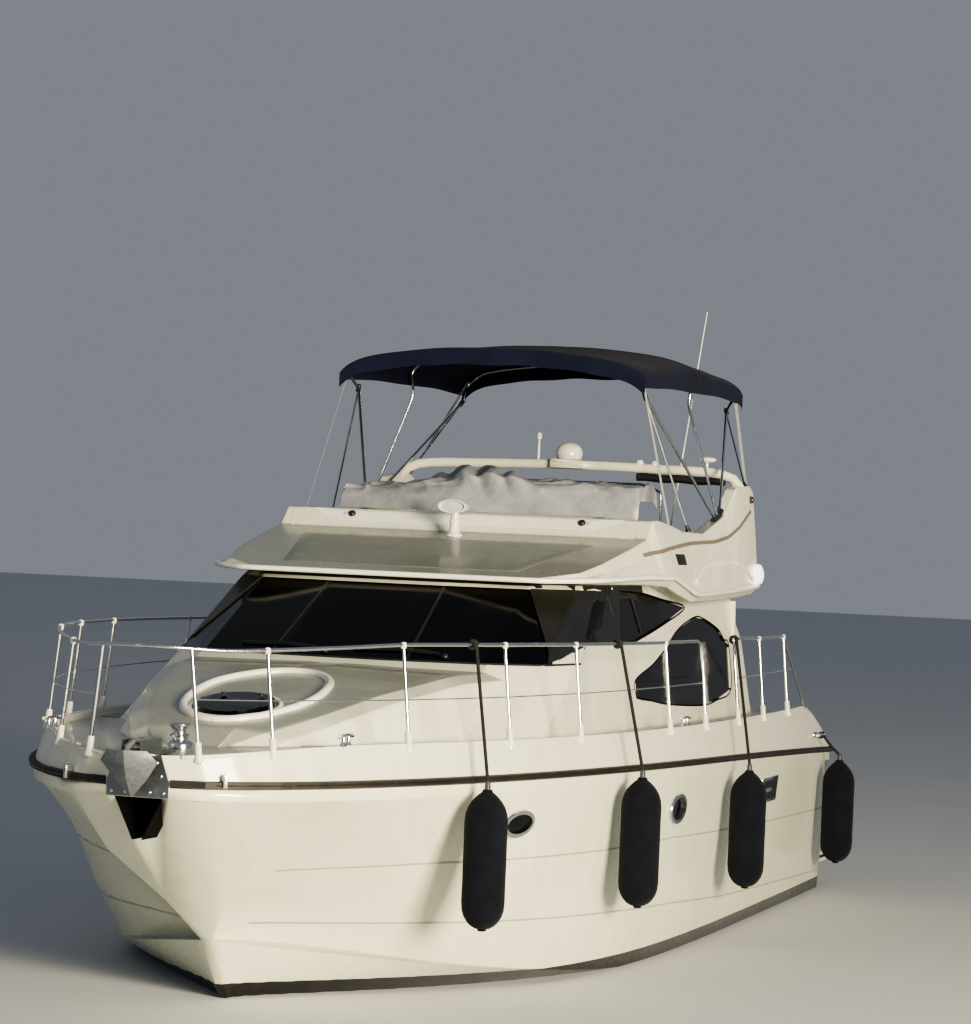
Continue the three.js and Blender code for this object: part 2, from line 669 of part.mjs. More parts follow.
function sideRail(radius) {
  const end = [
    railPoint(bowRailEndX + 70, railTopZ(bowRailEndX) - 8),
    railPoint(bowRailEndX, railTopZ(bowRailEndX) - 90),
    railPoint(bowRailEndX, gunwaleZ(bowRailEndX) - 20),
  ];
  return tube([...bowRailXs.map((x) => railPoint(x)), ...end], radius, 34, 6);
}
function wire(xs) {
  return joined(xs.slice(1).map((x, i) => rod(railPoint(xs[i], WIRE_Z), railPoint(x, WIRE_Z), 5, 5)));
}
const portBowPosts = joined([...bowPostXs, bowRailEndX].map(post));
const portBowRail = joined([sideRail(RAIL_RADIUS), portBowPosts, wire([BOW_POST_X, ...bowRailXs, bowRailEndX])]);
const pulpitStart = railPoint(bowRailXs[0] - 30);
const pulpitZ = pulpitStart[2];
const pulpitHalf = [pulpitStart, [5700, 290, pulpitZ + 8], [5790, 150, pulpitZ + 14]];
const pulpitPath = [...pulpitHalf, [5830, 0, pulpitZ + 16], ...pulpitHalf.map(([x, y, z]) => [x, -y, z]).reverse()];
const pulpitPost = joined([
  rod(railPoint(BOW_POST_X, gunwaleZ(BOW_POST_X) - FOOT_DEPTH), [5700, 290, pulpitZ + 8], RAIL_RADIUS, 6),
  rod(railPoint(BOW_POST_X, gunwaleZ(BOW_POST_X) - 40), railPoint(BOW_POST_X, gunwaleZ(BOW_POST_X) + 80), 30, 8, 20),
]);
const bowRail = joined([
  portBowRail,
  mirrored(portBowRail),
  tube(pulpitPath, RAIL_RADIUS, 18, 6),
  pulpitPost,
  mirrored(pulpitPost),
]);
add('bow_rail', seated(bowRail, deck), steel);

// After rails, from abreast the saloon door to the cockpit, with a stay down to the gunwale at their after end
const afterPostXs = [-1600, -2600, -3750];
const AFTER_STAY_X = -4750;
function afterBar(radius) {
  const start = afterPostXs[0];
  const turn = [railPoint(start, gunwaleZ(start) - 20), railPoint(start, railTopZ(start) - 90)];
  const top = [start - 80, -2600, -3200, -3750].map((x) => railPoint(x));
  return tube([...turn, ...top], radius, 20, 6);
}
const stayTop = railPoint(afterPostXs[2]);
const stayFoot = railPoint(AFTER_STAY_X, gunwaleZ(AFTER_STAY_X) - 20);
const wireShare = (stayTop[2] - WIRE_Z) / (stayTop[2] - stayFoot[2]);
const wireEnd = stayTop.map((value, i) => mix(value, stayFoot[i], wireShare));
const portAfterRail = seated(joined([
  afterBar(RAIL_RADIUS),
  ...afterPostXs.map(post),
  rod(stayTop, stayFoot, RAIL_RADIUS - 3, 6),
  wire(afterPostXs),
  rod(railPoint(afterPostXs[2], WIRE_Z), wireEnd, 5, 5),
]), deck);
add('after_rail_port', portAfterRail, steel);
add('after_rail_starboard', mirrored(portAfterRail), steel);

// Fenders along the port side, each on a lanyard from its eye over the bulwark: rows are distance forward,
// height of the top and distance forward of the hitch on the rail; the last one hangs from the stern cleat
const fenderRows = [[3960, 1425, 4000], [1820, 1410, 1860], [-880, 1320, -1690], [-4950, 1180, null]];
const taper = [[0, 0], [30, 4], [50, 30], [95, 62], [FENDER_RADIUS - 8, 130], [FENDER_RADIUS, 210]];
const fenderProfile = [...taper, ...taper.map(([r, h]) => [r, FENDER_LENGTH - h]).reverse()];
const EYE_RADIUS = 20;
const ROPE_RADIUS = 8;
const railRoom = joined([sideRail(RAIL_RADIUS + GAP), afterBar(RAIL_RADIUS + GAP), post(afterPostXs[0])]);
const deckRoom = deck.add(moved(deck, 0, 0, -GAP)).add(moved(deck, 0, GAP, 0));
fenderRows.forEach(([x, top, hitchX], i) => {
  const y = sheerY(x) + 36 + FENDER_RADIUS;
  const body = turned(fenderProfile, x, y, top - FENDER_LENGTH, 14);
  const eye = (radius, high) => rod([x, y, top - 40], [x, y, top + high], radius);
  add(`fender_${i + 1}`, body.add(eye(EYE_RADIUS, 60)), fenderCloth);

  const over = [x, sheerY(x) + 60, sheerZ(x) + 60];
  const ropes = [rod([x, y, top + 40], over, ROPE_RADIUS, 8)];
  if (hitchX === null) {
    const [cleatX, , [hornY, hornZ]] = sternCleat;
    ropes.push(rod(over, [cleatX - 100, hornY, hornZ - 6], ROPE_RADIUS, 8));
  } else {
    const [railX, railY, railZ] = railPoint(hitchX);
    ropes.push(rod(over, [railX, railY + RAIL_RADIUS + 6, railZ], ROPE_RADIUS, 8));
    ropes.push(rod([railX - 26, railY + 1, railZ], [railX + 26, railY - 1, railZ], RAIL_RADIUS + 11, 8));
  }
  const lanyard = joined(ropes).subtract(eye(EYE_RADIUS + GAP, 60 + GAP)).subtract(railRoom).subtract(deckRoom);
  add(`lanyard_${i + 1}`, lanyard, ropeBlack);
});

// Helm on the flying bridge, its wheel, seats and the cover laced over the console
const consoleTop = 3420;
const consoleOutline = [
  [-660, FLY_FLOOR_Z + GAP],
  [-660, 3330],
  [-760, consoleTop],
  [-900, consoleTop],
  [-1080, 3250],
  [-1080, FLY_FLOOR_Z + GAP],
];
const flyConsole = sidePlate(consoleOutline, -150, 950);
add('fly_console', flyConsole, gelcoatShade);
// A wheel facing aft, on a shaft that reaches the panel in front of it.
function wheel(x, y, z, panelX) {
  const rim = new THREE.TorusGeometry(180, 14, 6, 20);
  rim.rotateY(Math.PI / 2);
  const spokes = [0, 1, 2].map((i) => {
    const turn = (i * 2 * Math.PI) / 3 + Math.PI / 2;
    return rod([0, 0, 0], [0, 178 * Math.cos(turn), 178 * Math.sin(turn)], 12, 6);
  });
  const shaft = rod([-24, 0, 0], [panelX - x - GAP, 0, 0], 34, 10);
  return moved(joined([solid(rim), ...spokes, shaft]), x, y, z);
}
add('fly_wheel', wheel(-1155, 400, 3180, -1080), blackPlastic);
const flySeat = joined([
  box(-1900, -1450, -100, 1000, FLY_FLOOR_Z + GAP, 3180),
  box(-1960, -1860, -100, 1000, FLY_FLOOR_Z + GAP, 3420),
]);
add('fly_helm_seat', flySeat, vinyl);
const flySettee = joined([
  box(-3250, -2050, -1340, -900, FLY_FLOOR_Z + GAP, 3160),
  box(-3250, -2900, -1340, 500, FLY_FLOOR_Z + GAP, 3160),
]);
add('fly_settee', flySettee, vinyl);
const coverRows = [
  [-600, 3203, 1180, 3240],
  [-700, 3440, 1200, 3480],
  [-1000, 3480, 1180, 3545],
  [-1250, 3440, 1120, 3490],
];
const cover = loft(coverRows.map(([x, low, half, top]) => bothSides([
  [x, 30, low],
  [x, half, low - (low > 3300 ? 60 : 0)],
  [x, half + 20, low + 5],
  [x, half - 60, top - 10],
  [x, 30, top],
])), 1, 2);
add('helm_cover', moved(cover, 0, 90, 0).subtract(moved(flyConsole, 0, 0, GAP)), tarpCloth);

// Searchlight on the brow
const lampX = -160;
const searchPost = joined([
  rod([lampX, 0, 2900], [lampX, 0, 3130], 24, 10),
  rod([lampX, 0, 2900], [lampX, 0, 3034], 60, 12),
]);
add('searchlight_post', seated(searchPost, fly), steel);
const lamp = joined([
  rod([lampX, 0, 3130 + GAP], [lampX, 0, 3160], 30, 10),
  rod([lampX - 80, 0, 3215], [lampX + 90, 0, 3215], 75, 14),
]);
add('searchlight', lamp, steel);

// Arch across the wings with its instruments
const ARCH_X = -3200;
const archPath = [
  [ARCH_X, 1500, 3490],
  [ARCH_X, 1470, 3540],
  [ARCH_X, 1380, 3600],
  [ARCH_X, 700, 3640],
  [ARCH_X, -700, 3640],
  [ARCH_X, -1380, 3600],
  [ARCH_X, -1470, 3540],
  [ARCH_X, -1500, 3490],
];
const ARCH_PAD_Z = 3690;
const archPad = box(ARCH_X - 90, ARCH_X + 90, -140, 140, 3620, ARCH_PAD_Z);
const arch = seated(tube(archPath, 42, 28, 10).add(archPad), fly);
add('arch', arch, gelcoat);
const domeProfile = [[0, 0], [90, 0], [120, 40], [115, 90], [70, 130], [0, 145]];
add('arch_dome', turned(domeProfile, ARCH_X, 0, ARCH_PAD_Z + GAP, 14), gelcoat);
const whipX = FLY_AFT_X + 70;
const whip = joined([
  rod([whipX, 600, FLY_FLOOR_Z - 20], [whipX, 610, 3120], 18, 8),
  rod([whipX, 608, 3100], [whipX - 20, 860, 5040], 9, 6, 4),
]);
add('whip_antenna', seated(whip, fly), gelcoat);

// Safety rail round the after end of the flying bridge, open at the stairs
const FLY_RAIL_Z = 3520;
const flyRailX = FLY_AFT_X + 100;
const flyRailPath = [
  [-3640, -1470, FLY_RAIL_Z - 90],
  [-4080, -1320, FLY_RAIL_Z],
  [flyRailX + 10, -1050, FLY_RAIL_Z],
  [flyRailX, -600, FLY_RAIL_Z],
  [flyRailX, 350, FLY_RAIL_Z],
  [flyRailX, 520, FLY_RAIL_Z - 60],
  [flyRailX, 545, FLY_FLOOR_Z - 20],
];
const flyRailPosts = [[-3650, -1467, 3440], [-4080, -1320, 3530], [flyRailX, -600, 3530], [flyRailX, -50, 3530]];
const flyRail = joined([
  tube(flyRailPath, RAIL_RADIUS, 26, 6),
  ...flyRailPosts.map(([x, y, z]) => rod([x, y, FLY_FLOOR_Z - 20], [x, y, z], RAIL_RADIUS, 6)),
]);
add('fly_rail', seated(flyRail, fly), steel);

// Bimini: three bows on each side's pivots, two braces, and the canvas over them with its valance all round
const BIMINI = { foreX: -1000, midX: -2550, aftX: -4050, half: 1260, topZ: 4500, valance: 130 };
const biminiLifts = [[BIMINI.foreX, 0], [BIMINI.midX, 110], [BIMINI.aftX, 55]];
const PIVOT_Y = 1495;
const LEG_Y = 1188;
const LEG_Z = 4160;
function crownZ(share, lift) {
  return BIMINI.topZ - 130 * share ** 2.2 - 80 * share ** 14 + lift;
}
const BOW_DROP = 23;
const CROWN_SHARES = [0, 0.25, 0.5, 0.7, 0.85, 0.95, 1];
const LEG_SHARE = 0.87;
function flyTopZ(x) {
  const rows = flyRows.map(([rx, , , , top]) => [rx, top]);
  const i = rows.findIndex(([rx]) => rx < x);
  const [[xa, za], [xb, zb]] = [rows[i - 1], rows[i]];
  return mix(za, zb, (x - xa) / (xb - xa));
}
function bow(x, pivotX, lift) {
  const side = (sign) => [
    [pivotX, sign * PIVOT_Y, flyTopZ(pivotX) + 20],
    [mix(pivotX, x, LEG_SHARE), sign * LEG_Y, LEG_Z],
    [x, sign * (BIMINI.half - 45), crownZ(0.95, lift) - 80],
    ...[0.85, 0.7, 0.5, 0.25].map((share) => [x, sign * BIMINI.half * share, crownZ(share, lift) - BOW_DROP]),
  ];
  return tube([...side(1), [x, 0, crownZ(0, lift) - BOW_DROP], ...side(-1).reverse()], 12.5, 30, 6);
}
const pivotXs = [-2350, -2430, -2510];
const braceRows = [[BIMINI.foreX, pivotXs[0], -1500], [BIMINI.aftX, pivotXs[2], -3380]];
const pivotPlate = (sign) => rod(
  [-2300, sign * PIVOT_Y, flyTopZ(-2300) - 10],
  [-2560, sign * PIVOT_Y, flyTopZ(-2560) + 20],
  24,
  8,
);
const frame = joined([
  ...biminiLifts.map(([x, lift], i) => bow(x, pivotXs[i], lift)),
  ...[1, -1].flatMap((sign) => [
    pivotPlate(sign),
    ...braceRows.map(([x, pivotX, footX]) => rod(
      [mix(pivotX, x, LEG_SHARE), sign * LEG_Y, LEG_Z],
      [footX, sign * PIVOT_Y, flyTopZ(footX) - 10],
      11,
      6,
    )),
  ]),
]);
const CLOTH = 8;
const HEM = 100;
const canopyRows = [
  [BIMINI.foreX + HEM, -12],
  ...biminiLifts.slice(0, 2),
  [-3300, 92],
  biminiLifts[2],
  [BIMINI.aftX - HEM, 40],
];
function canopyEdge(lift) {
  const top = CROWN_SHARES.map((share) => [BIMINI.half * share, crownZ(share, lift)]);
  return [...top.slice().reverse(), ...top.slice(1).map(([y, z]) => [-y, z])];
}
const roof = loft(canopyRows.map(([x, lift]) => {
  const edge = canopyEdge(lift);
  const under = edge.map(([y, z]) => [y * (1 - CLOTH / BIMINI.half), z - CLOTH]).reverse();
  const hemZ = crownZ(1, lift * 0.3) - 72;
  const skirt = (y) => [y, hemZ];
  const ring = [skirt(BIMINI.half), ...edge, skirt(-BIMINI.half), skirt(CLOTH - BIMINI.half), ...under];
  return [...ring, skirt(BIMINI.half - CLOTH)].map(([y, z]) => [x, y, z]);
}), 1, 2);
const endValances = [canopyRows[0], canopyRows[canopyRows.length - 1]].map(([x, lift], i) => {
  const edge = canopyEdge(lift);
  const low = edge.map(([y, z]) => [y, z - BIMINI.valance]).reverse();
  const inner = x + (i === 0 ? -CLOTH : CLOTH);
  return loft([x, inner].map((ringX) => [...edge, ...low].map(([y, z]) => [ringX, y, z])), 1, 2);
});
const canopy = joined([roof, ...endValances]);
add('bimini_frame', seated(seated(frame, fly).subtract(arch), canopy, 0, 0, -GAP), steel);
add('bimini_canopy', canopy, navyCanvas);

// Cockpit: engine hatch, bench, gate, stairs to the flying bridge
add('engine_hatch', box(-4594, -3606, -554, 554, SOLE_Z - 40 + GAP, SOLE_Z - 1), gelcoatShade);
add('cockpit_bench', joined([
  box(WELL_AFT_X + 12, WELL_AFT_X + 480, -1300, 600, SOLE_Z + GAP, 1130),
  box(WELL_AFT_X + 12, WELL_AFT_X + 110, -1300, 600, SOLE_Z + GAP, 1480),
]), vinyl);
const gate = box(
  WELL_AFT_X - 32,
  WELL_AFT_X + 3,
  GATE_Y - GATE_HALF_WIDTH + 12,
  GATE_Y + GATE_HALF_WIDTH - 12,
  SOLE_Z + 40,
  1400,
);
const GATE_HINGE = [WELL_AFT_X + 10 + GAP, GATE_Y + GATE_HALF_WIDTH + 10];
const gateHinges = [860, 1250].flatMap((z) => [
  rod([...GATE_HINGE, z - 50], [...GATE_HINGE, z + 50], 10, 12),
  box(WELL_AFT_X + 2, WELL_AFT_X + 10, GATE_Y + 200, GATE_HINGE[1], z - 18, z + 18),
]);
add('transom_gate', joined([gate, ...gateHinges]), gelcoat);
const stairRows = [[-4160, 900], [-4030, 1180], [-3900, 1460], [-3770, 1740], [-3640, 2020], [-3510, 2300]];
const stringers = [730, 1150].map((y) => rod([-4240, y, SOLE_Z + 2], [-3355, y, 2738], 20));
const stairs = joined([...stringers, ...stairRows.map(([x, z]) => box(x - 70, x + 90, 720, 1160, z, z + 30))]);
add('fly_stairs', seated(seated(stairs, sole), fly, 0, 0, -GAP), steel);

// Swimming platform and its ladder
const platformAftX = TRANSOM_X - PLATFORM_LENGTH;
const platformHalf = [
  [TRANSOM_X - GAP, PLATFORM_HALF_WIDTH],
  [platformAftX + 160, PLATFORM_HALF_WIDTH],
  [platformAftX, PLATFORM_HALF_WIDTH - 200],
];
const platformOutline = [...platformHalf, ...platformHalf.map(([x, y]) => [x, -y]).reverse()];
let platform = floorPlate(platformOutline, PLATFORM_TOP_Z - 90, PLATFORM_TOP_Z);
const LADDER_X = platformAftX - 36;
const LADDER_Z = PLATFORM_TOP_Z + 26;
const lugOutline = [
  [LADDER_X - 24, LADDER_Z - 22],
  [LADDER_X - 24, LADDER_Z + 22],
  [LADDER_X + 80, LADDER_Z - 20],
  [LADDER_X + 80, PLATFORM_TOP_Z - 60],
];
for (const y of [-1330, -870]) platform = platform.add(sidePlate(lugOutline, y - 8, y + 8));
add('swim_platform', platform, gelcoatShade);
const ladderRungs = [120, 330, 540];
const ladder = joined([
  rod([LADDER_X, -1322 + GAP, LADDER_Z], [LADDER_X, -878 - GAP, LADDER_Z], 13, 10),
  rod([LADDER_X, -1300, LADDER_Z], [LADDER_X + 600, -1300, LADDER_Z], 13, 8),
  rod([LADDER_X, -900, LADDER_Z], [LADDER_X + 600, -900, LADDER_Z], 13, 8),
  ...ladderRungs.map((d) => rod([LADDER_X + d, -1300, LADDER_Z], [LADDER_X + d, -900, LADDER_Z], 12, 8)),
]);
add('boarding_ladder', ladder, steel);

// Running gear, one set each side
const rudderOutline = [
  [RUDDER_X + 130, -460],
  [RUDDER_X + 110, -890],
  [RUDDER_X - 190, -890],
  [RUDDER_X - 210, -460],
];
for (const [side, sign] of [['port', 1], ['starboard', -1]]) {
  const y = sign * SHAFT_Y;
  const engine = box(-4450, -3250, y - 340, y + 340, BAY_FLOOR_Z + GAP, 560);
  add(`engine_${side}`, engine, engineGrey);
  const along = (distance, drop = 0) => [
    PROPELLER_X + distance * Math.cos(SHAFT_ANGLE),
    y,
    PROPELLER_Z + distance * Math.sin(SHAFT_ANGLE) - drop,
  ];
  const bracket = rod(along(150), along(150, -340), 22, 8);
  const line = joined([rod(along(60 + GAP), along(1900), 24, 8), rod(along(75), along(225), 42, 10), bracket]);
  add(`propeller_shaft_${side}`, seated(line, hull, 0, 0, -GAP), bronze);
  const blades = [0, 1, 2, 3].map((i) => {
    const plate = new THREE.BoxGeometry(150, 16, 205).rotateZ(0.9 * sign).translate(0, 0, 122);
    return solid(plate.rotateX((i * Math.PI) / 2));
  });
  const propeller = geometryOf(joined([rod([60, 0, 0], [-90, 0, 0], 45, 12, 28), ...blades]));
  propeller.rotateY(-SHAFT_ANGLE).translate(PROPELLER_X, y, PROPELLER_Z);
  add(`propeller_${side}`, solid(propeller), bronze);
  const rudderBlade = sidePlate(rudderOutline, y - 18, y + 18);
  const stock = rod([RUDDER_X, y, -500], [RUDDER_X, y, RUDDER_BOSS_Z - GAP], 24, 10);
  add(`rudder_${side}`, joined([rudderBlade, stock]), bronze);
}

// Saloon furniture on its sole: helm console, seat, settee and galley
const saloonFurniture = joined([
  box(-3000, 1500, -1260, 1260, SOLE_Z + GAP, SALOON_SOLE_Z),
  box(1000, 1560, -1250, 1250, SALOON_SOLE_Z - 10, 1560),
  box(-200, 250, -1150, -350, SALOON_SOLE_Z - 10, 1350),
  box(-2700, -600, 620, 1250, SALOON_SOLE_Z - 10, 1240),
  box(-2900, -900, -1250, -700, SALOON_SOLE_Z - 10, 1660),
]);
add('saloon_furniture', saloonFurniture, teak);
add('saloon_wheel', wheel(900, -750, 1360, 1000), blackPlastic);

export default yacht;
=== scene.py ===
"""Looks of a motor yacht with a flying bridge: the finish of each surface and the modelled pieces on it."""
import math

import bpy
from mathutils import Matrix, Vector, noise
from mathutils.bvhtree import BVHTree


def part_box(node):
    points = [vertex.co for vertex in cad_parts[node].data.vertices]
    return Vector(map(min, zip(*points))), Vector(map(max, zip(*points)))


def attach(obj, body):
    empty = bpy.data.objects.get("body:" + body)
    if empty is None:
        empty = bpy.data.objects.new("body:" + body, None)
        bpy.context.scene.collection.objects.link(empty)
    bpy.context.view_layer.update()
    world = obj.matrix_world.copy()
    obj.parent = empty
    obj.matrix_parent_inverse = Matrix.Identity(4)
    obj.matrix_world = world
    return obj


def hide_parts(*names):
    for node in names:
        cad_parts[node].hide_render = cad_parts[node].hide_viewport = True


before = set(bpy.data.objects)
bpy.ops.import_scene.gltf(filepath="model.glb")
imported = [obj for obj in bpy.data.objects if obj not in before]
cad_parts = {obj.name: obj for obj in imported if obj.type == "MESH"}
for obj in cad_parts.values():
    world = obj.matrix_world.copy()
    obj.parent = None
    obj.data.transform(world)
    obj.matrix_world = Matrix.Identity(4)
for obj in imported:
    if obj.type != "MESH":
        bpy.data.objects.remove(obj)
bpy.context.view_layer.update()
scene = bpy.context.scene

# Camera: it stands off the port bow, level with the flying bridge, with a long lens that flattens the hull.
# It leans over a little, as the photo does.
camera_data = bpy.data.cameras.new("photo_camera")
camera_data.lens = 122.77
camera_data.sensor_width = 36
camera = bpy.data.objects.new("photo_camera", camera_data)
camera.location = (25.151, 8.265, 3.113)
camera.rotation_euler = [math.radians(angle) for angle in (90.2035, -2.4350, 107.5768)]
scene.collection.objects.link(camera)
scene.camera = camera
scene.view_settings.look = "AgX - Medium High Contrast"
scene.view_settings.exposure = 0.35

# Studio: a pale matt floor lies at the waterline, the height that the yacht floats at. A broad warm light
# stands off the port bow, a weak cool one to starboard, and the pale room fills the shadows.


def linear(hex_colour):
    """The linear colour, with alpha, of an sRGB hex colour."""
    channels = [int(hex_colour[i : i + 2], 16) / 255 for i in (1, 3, 5)]
    return [c / 12.92 if c <= 0.04045 else ((c + 0.055) / 1.055) ** 2.4 for c in channels] + [1.0]


def add_node(tree, kind, settings=None, links=None):
    """Adds a node; a setting's name is a socket or else a property, and a link's is a socket."""
    new = tree.nodes.new(kind)
    for name, value in (settings or {}).items():
        if isinstance(name, int) or name in new.inputs:
            new.inputs[name].default_value = value
        else:
            setattr(new, name, value)
    for name, source in (links or {}).items():
        tree.links.new(source, new.inputs[name])
    return new


def new_finish(name, hex_colour, roughness, metallic=0.0):
    """A material with its node tree and its shader, ready for its pattern."""
    material = bpy.data.materials.new(name)
    material.use_nodes = True
    shader = material.node_tree.nodes["Principled BSDF"]
    shader.inputs["Base Color"].default_value = linear(hex_colour)
    shader.inputs["Roughness"].default_value = roughness
    shader.inputs["Metallic"].default_value = metallic
    material.diffuse_color = linear(hex_colour)
    return material, material.node_tree, shader


def work_in(tree, shader, pattern, tones, stops=(0.0, 1.0), height=None, relief=None):
    """Works a pattern into a finish: it runs between two tones from one stop to the other, and its relief, a
    strength and a depth in metres, follows the pattern or a height of its own."""
    tone = None
    if tones:
        ramp = add_node(tree, "ShaderNodeValToRGB", None, {"Fac": pattern})
        for element, hex_colour, stop in zip(ramp.color_ramp.elements, tones, stops):
            element.position = stop
            element.color = linear(hex_colour)
        tone = ramp.outputs["Color"]
        tree.links.new(tone, shader.inputs["Base Color"])
    if relief:
        rises = {"Height": pattern if height is None else height}
        bump = add_node(tree, "ShaderNodeBump", {"Strength": relief[0], "Distance": relief[1]}, rises)
        tree.links.new(bump.outputs["Normal"], shader.inputs["Normal"])
    return tone


def patterned_finish(
    name, hex_colour, roughness, patches, tones=None, stops=(0.0, 1.0), grit=None, relief=(0.1, 0.0003),
    metallic=0.0, stretch=None, gloss=None,
):
    """A finish that wanders between two tones in patches; its relief follows them, or a grit of its own.

    Grit is a texture's kind and settings, stretch draws the patches out, and gloss sets more sockets.
    """
    material, tree, shader = new_finish(name, hex_colour, roughness, metallic)
    place = add_node(tree, "ShaderNodeTexCoord").outputs["Object"]
    spread = place
    if stretch:
        spread = add_node(tree, "ShaderNodeMapping", {"Scale": stretch}, {"Vector": place}).outputs[0]
    pattern = add_node(tree, "ShaderNodeTexNoise", patches, {"Vector": spread}).outputs["Fac"]
    height = pattern
    if grit:
        texture = add_node(tree, grit[0], grit[1], {"Vector": place})
        height = texture.outputs["Distance" if grit[0] == "ShaderNodeTexVoronoi" else "Fac"]
    work_in(tree, shader, pattern, tones, stops, height, relief)
    for socket, value in (gloss or {}).items():
        shader.inputs[socket].default_value = value
    return material, tree, shader


bpy.ops.mesh.primitive_plane_add(size=240, location=(0, 0, 0))
floor = bpy.context.object
floor.name = "studio_floor"
floor_paint, *_ = patterned_finish(
    "matt_floor_paint", "#B9BCBF", 0.9, {"Scale": 0.4, "Detail": 3.0}, ("#B5B8BB", "#BDC0C3"), relief=None
)
floor.data.materials.append(floor_paint)

room = bpy.data.worlds.new("studio_room")
room.use_nodes = True
room.node_tree.nodes["Background"].inputs["Color"].default_value = linear("#C3C9D3")
room.node_tree.nodes["Background"].inputs["Strength"].default_value = 0.3
scene.world = room

for name, place, size, power, hex_colour in (
    ("key_light", (18.0, 17.5, 5.6), 6.5, 11900, "#FFEFD0"),
    ("bow_light", (20.0, -8.0, 10.0), 7.0, 120, "#DDE6FF"),
):
    light_data = bpy.data.lights.new(name, "AREA")
    light_data.size = size
    light_data.energy = power
    light_data.color = linear(hex_colour)[:3]
    light = bpy.data.objects.new(name, light_data)
    light.location = place
    light.rotation_euler = (Vector((0, 0, 1.6)) - Vector(place)).to_track_quat("-Z", "Y").to_euler()
    scene.collection.objects.link(light)

# Hull: a moulded glass-fibre shell with a white polyester gelcoat, a black boot top along the waterline and
# matt antifouling under it. The moulding shows as built, so its surface is welded and smoothed between
# frames.


def only(*objects):
    """Selects these objects and nothing else, the first of them active."""
    bpy.ops.object.select_all(action="DESELECT")
    for item in objects:
        item.select_set(True)
    bpy.context.view_layer.objects.active = objects[0]


def apply_modifier(item, kind, **settings):
    """Adds a modifier with its settings and applies it to the mesh."""
    only(item)
    modifier = item.modifiers.new(kind.lower(), kind)
    for name, value in settings.items():
        setattr(modifier, name, value)
    bpy.ops.object.modifier_apply(modifier=modifier.name)


def round_edges(item, width, degrees=30):
    """Rounds a piece's edges that are sharper than the angle."""
    angle = math.radians(degrees)
    apply_modifier(item, "BEVEL", width=width, segments=2, limit_method="ANGLE", angle_limit=angle)


def smooth(item, degrees=35):
    """Smooth shading that keeps edges sharper than the angle."""
    only(item)
    bpy.ops.object.shade_smooth_by_angle(angle=math.radians(degrees))


def welded_copy(node, name, merge=0.0004):
    """A copy of a fixed node's mesh with its loose triangles joined."""
    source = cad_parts[node]
    item = source.copy()
    item.data = source.data.copy()
    item.name = name
    for key in list(item.keys()):
        del item[key]
    item.parent = None
    scene.collection.objects.link(item)
    only(item)
    bpy.ops.object.mode_set(mode="EDIT")
    bpy.ops.mesh.select_all(action="SELECT")
    bpy.ops.mesh.remove_doubles(threshold=merge)
    bpy.ops.object.mode_set(mode="OBJECT")
    item.data.materials.clear()
    return item


def dress(item, finish, slot, body="boat", node=None):
    """Gives a piece its finish, its body and the fixed node that it stands for; the slot is not used."""
    item.data.materials.clear()
    item.data.materials.append(finish)
    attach(item, body)
    if node:
        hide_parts(node)
    return item


def moulding(node, name, finish, slot, body="boat", degrees=34, cuts=0):
    """A smoothed copy of a fixed node, in its finish, that stands for it.

    Cuts halve its edges a number of times, so that broad faces shade evenly.
    """
    item = welded_copy(node, name)
    bpy.ops.object.mode_set(mode="EDIT")
    bpy.ops.mesh.select_all(action="SELECT")
    for _ in range(cuts):
        bpy.ops.mesh.subdivide(number_cuts=1, ngon=False)
    bpy.ops.object.mode_set(mode="OBJECT")
    smooth(item, degrees)
    apply_modifier(item, "WEIGHTED_NORMAL", keep_sharp=True)
    return dress(item, finish, slot, body, node)


# Gelcoat is a clear-looking polyester skin off a polished mould: a wet gloss with a faint ripple about 8 mm
# across, slightly yellowed, with dull streaks where rain runs down.
def gelcoat_finish(name, hex_new, hex_old, roughness=0.24):
    """A gelcoat, the tree it is in, its shader and the socket that carries its colour."""
    material, tree, shader = new_finish(name, hex_new, roughness)
    place = add_node(tree, "ShaderNodeTexCoord").outputs["Object"]
    patches = add_node(
        tree, "ShaderNodeTexNoise", {"Scale": 1.3, "Detail": 4.0, "Roughness": 0.6}, {"Vector": place}
    )
    tall = add_node(tree, "ShaderNodeMapping", {"Scale": (9.0, 9.0, 0.7)}, {"Vector": place})
    streaks = add_node(
        tree, "ShaderNodeTexNoise", {
            "Scale": 1.0, "Detail": 5.0, "Roughness": 0.7
        }, {"Vector": tall.outputs[0]}
    )
    both = add_node(
        tree, "ShaderNodeMath", {"operation": "MULTIPLY"}, {
            0: patches.outputs["Fac"], 1: streaks.outputs["Fac"]
        }
    )
    dulling = add_node(
        tree,
        "ShaderNodeMapRange",
        {"From Min": 0.1, "From Max": 0.5, "To Min": roughness - 0.05, "To Max": roughness + 0.16},
        {"Value": both.outputs[0]},
    )
    tree.links.new(dulling.outputs["Result"], shader.inputs["Roughness"])
    ripple = add_node(
        tree, "ShaderNodeTexNoise", {"Scale": 125.0, "Detail": 1.0}, {"Vector": place}
    ).outputs["Fac"]
    tone = work_in(tree, shader, both.outputs[0], (hex_new, hex_old), (0.12, 0.5), ripple, (0.05, 0.0004))
    shader.inputs["Coat Weight"].default_value = 0.35
    shader.inputs["Coat Roughness"].default_value = 0.12
    return material, tree, shader, tone


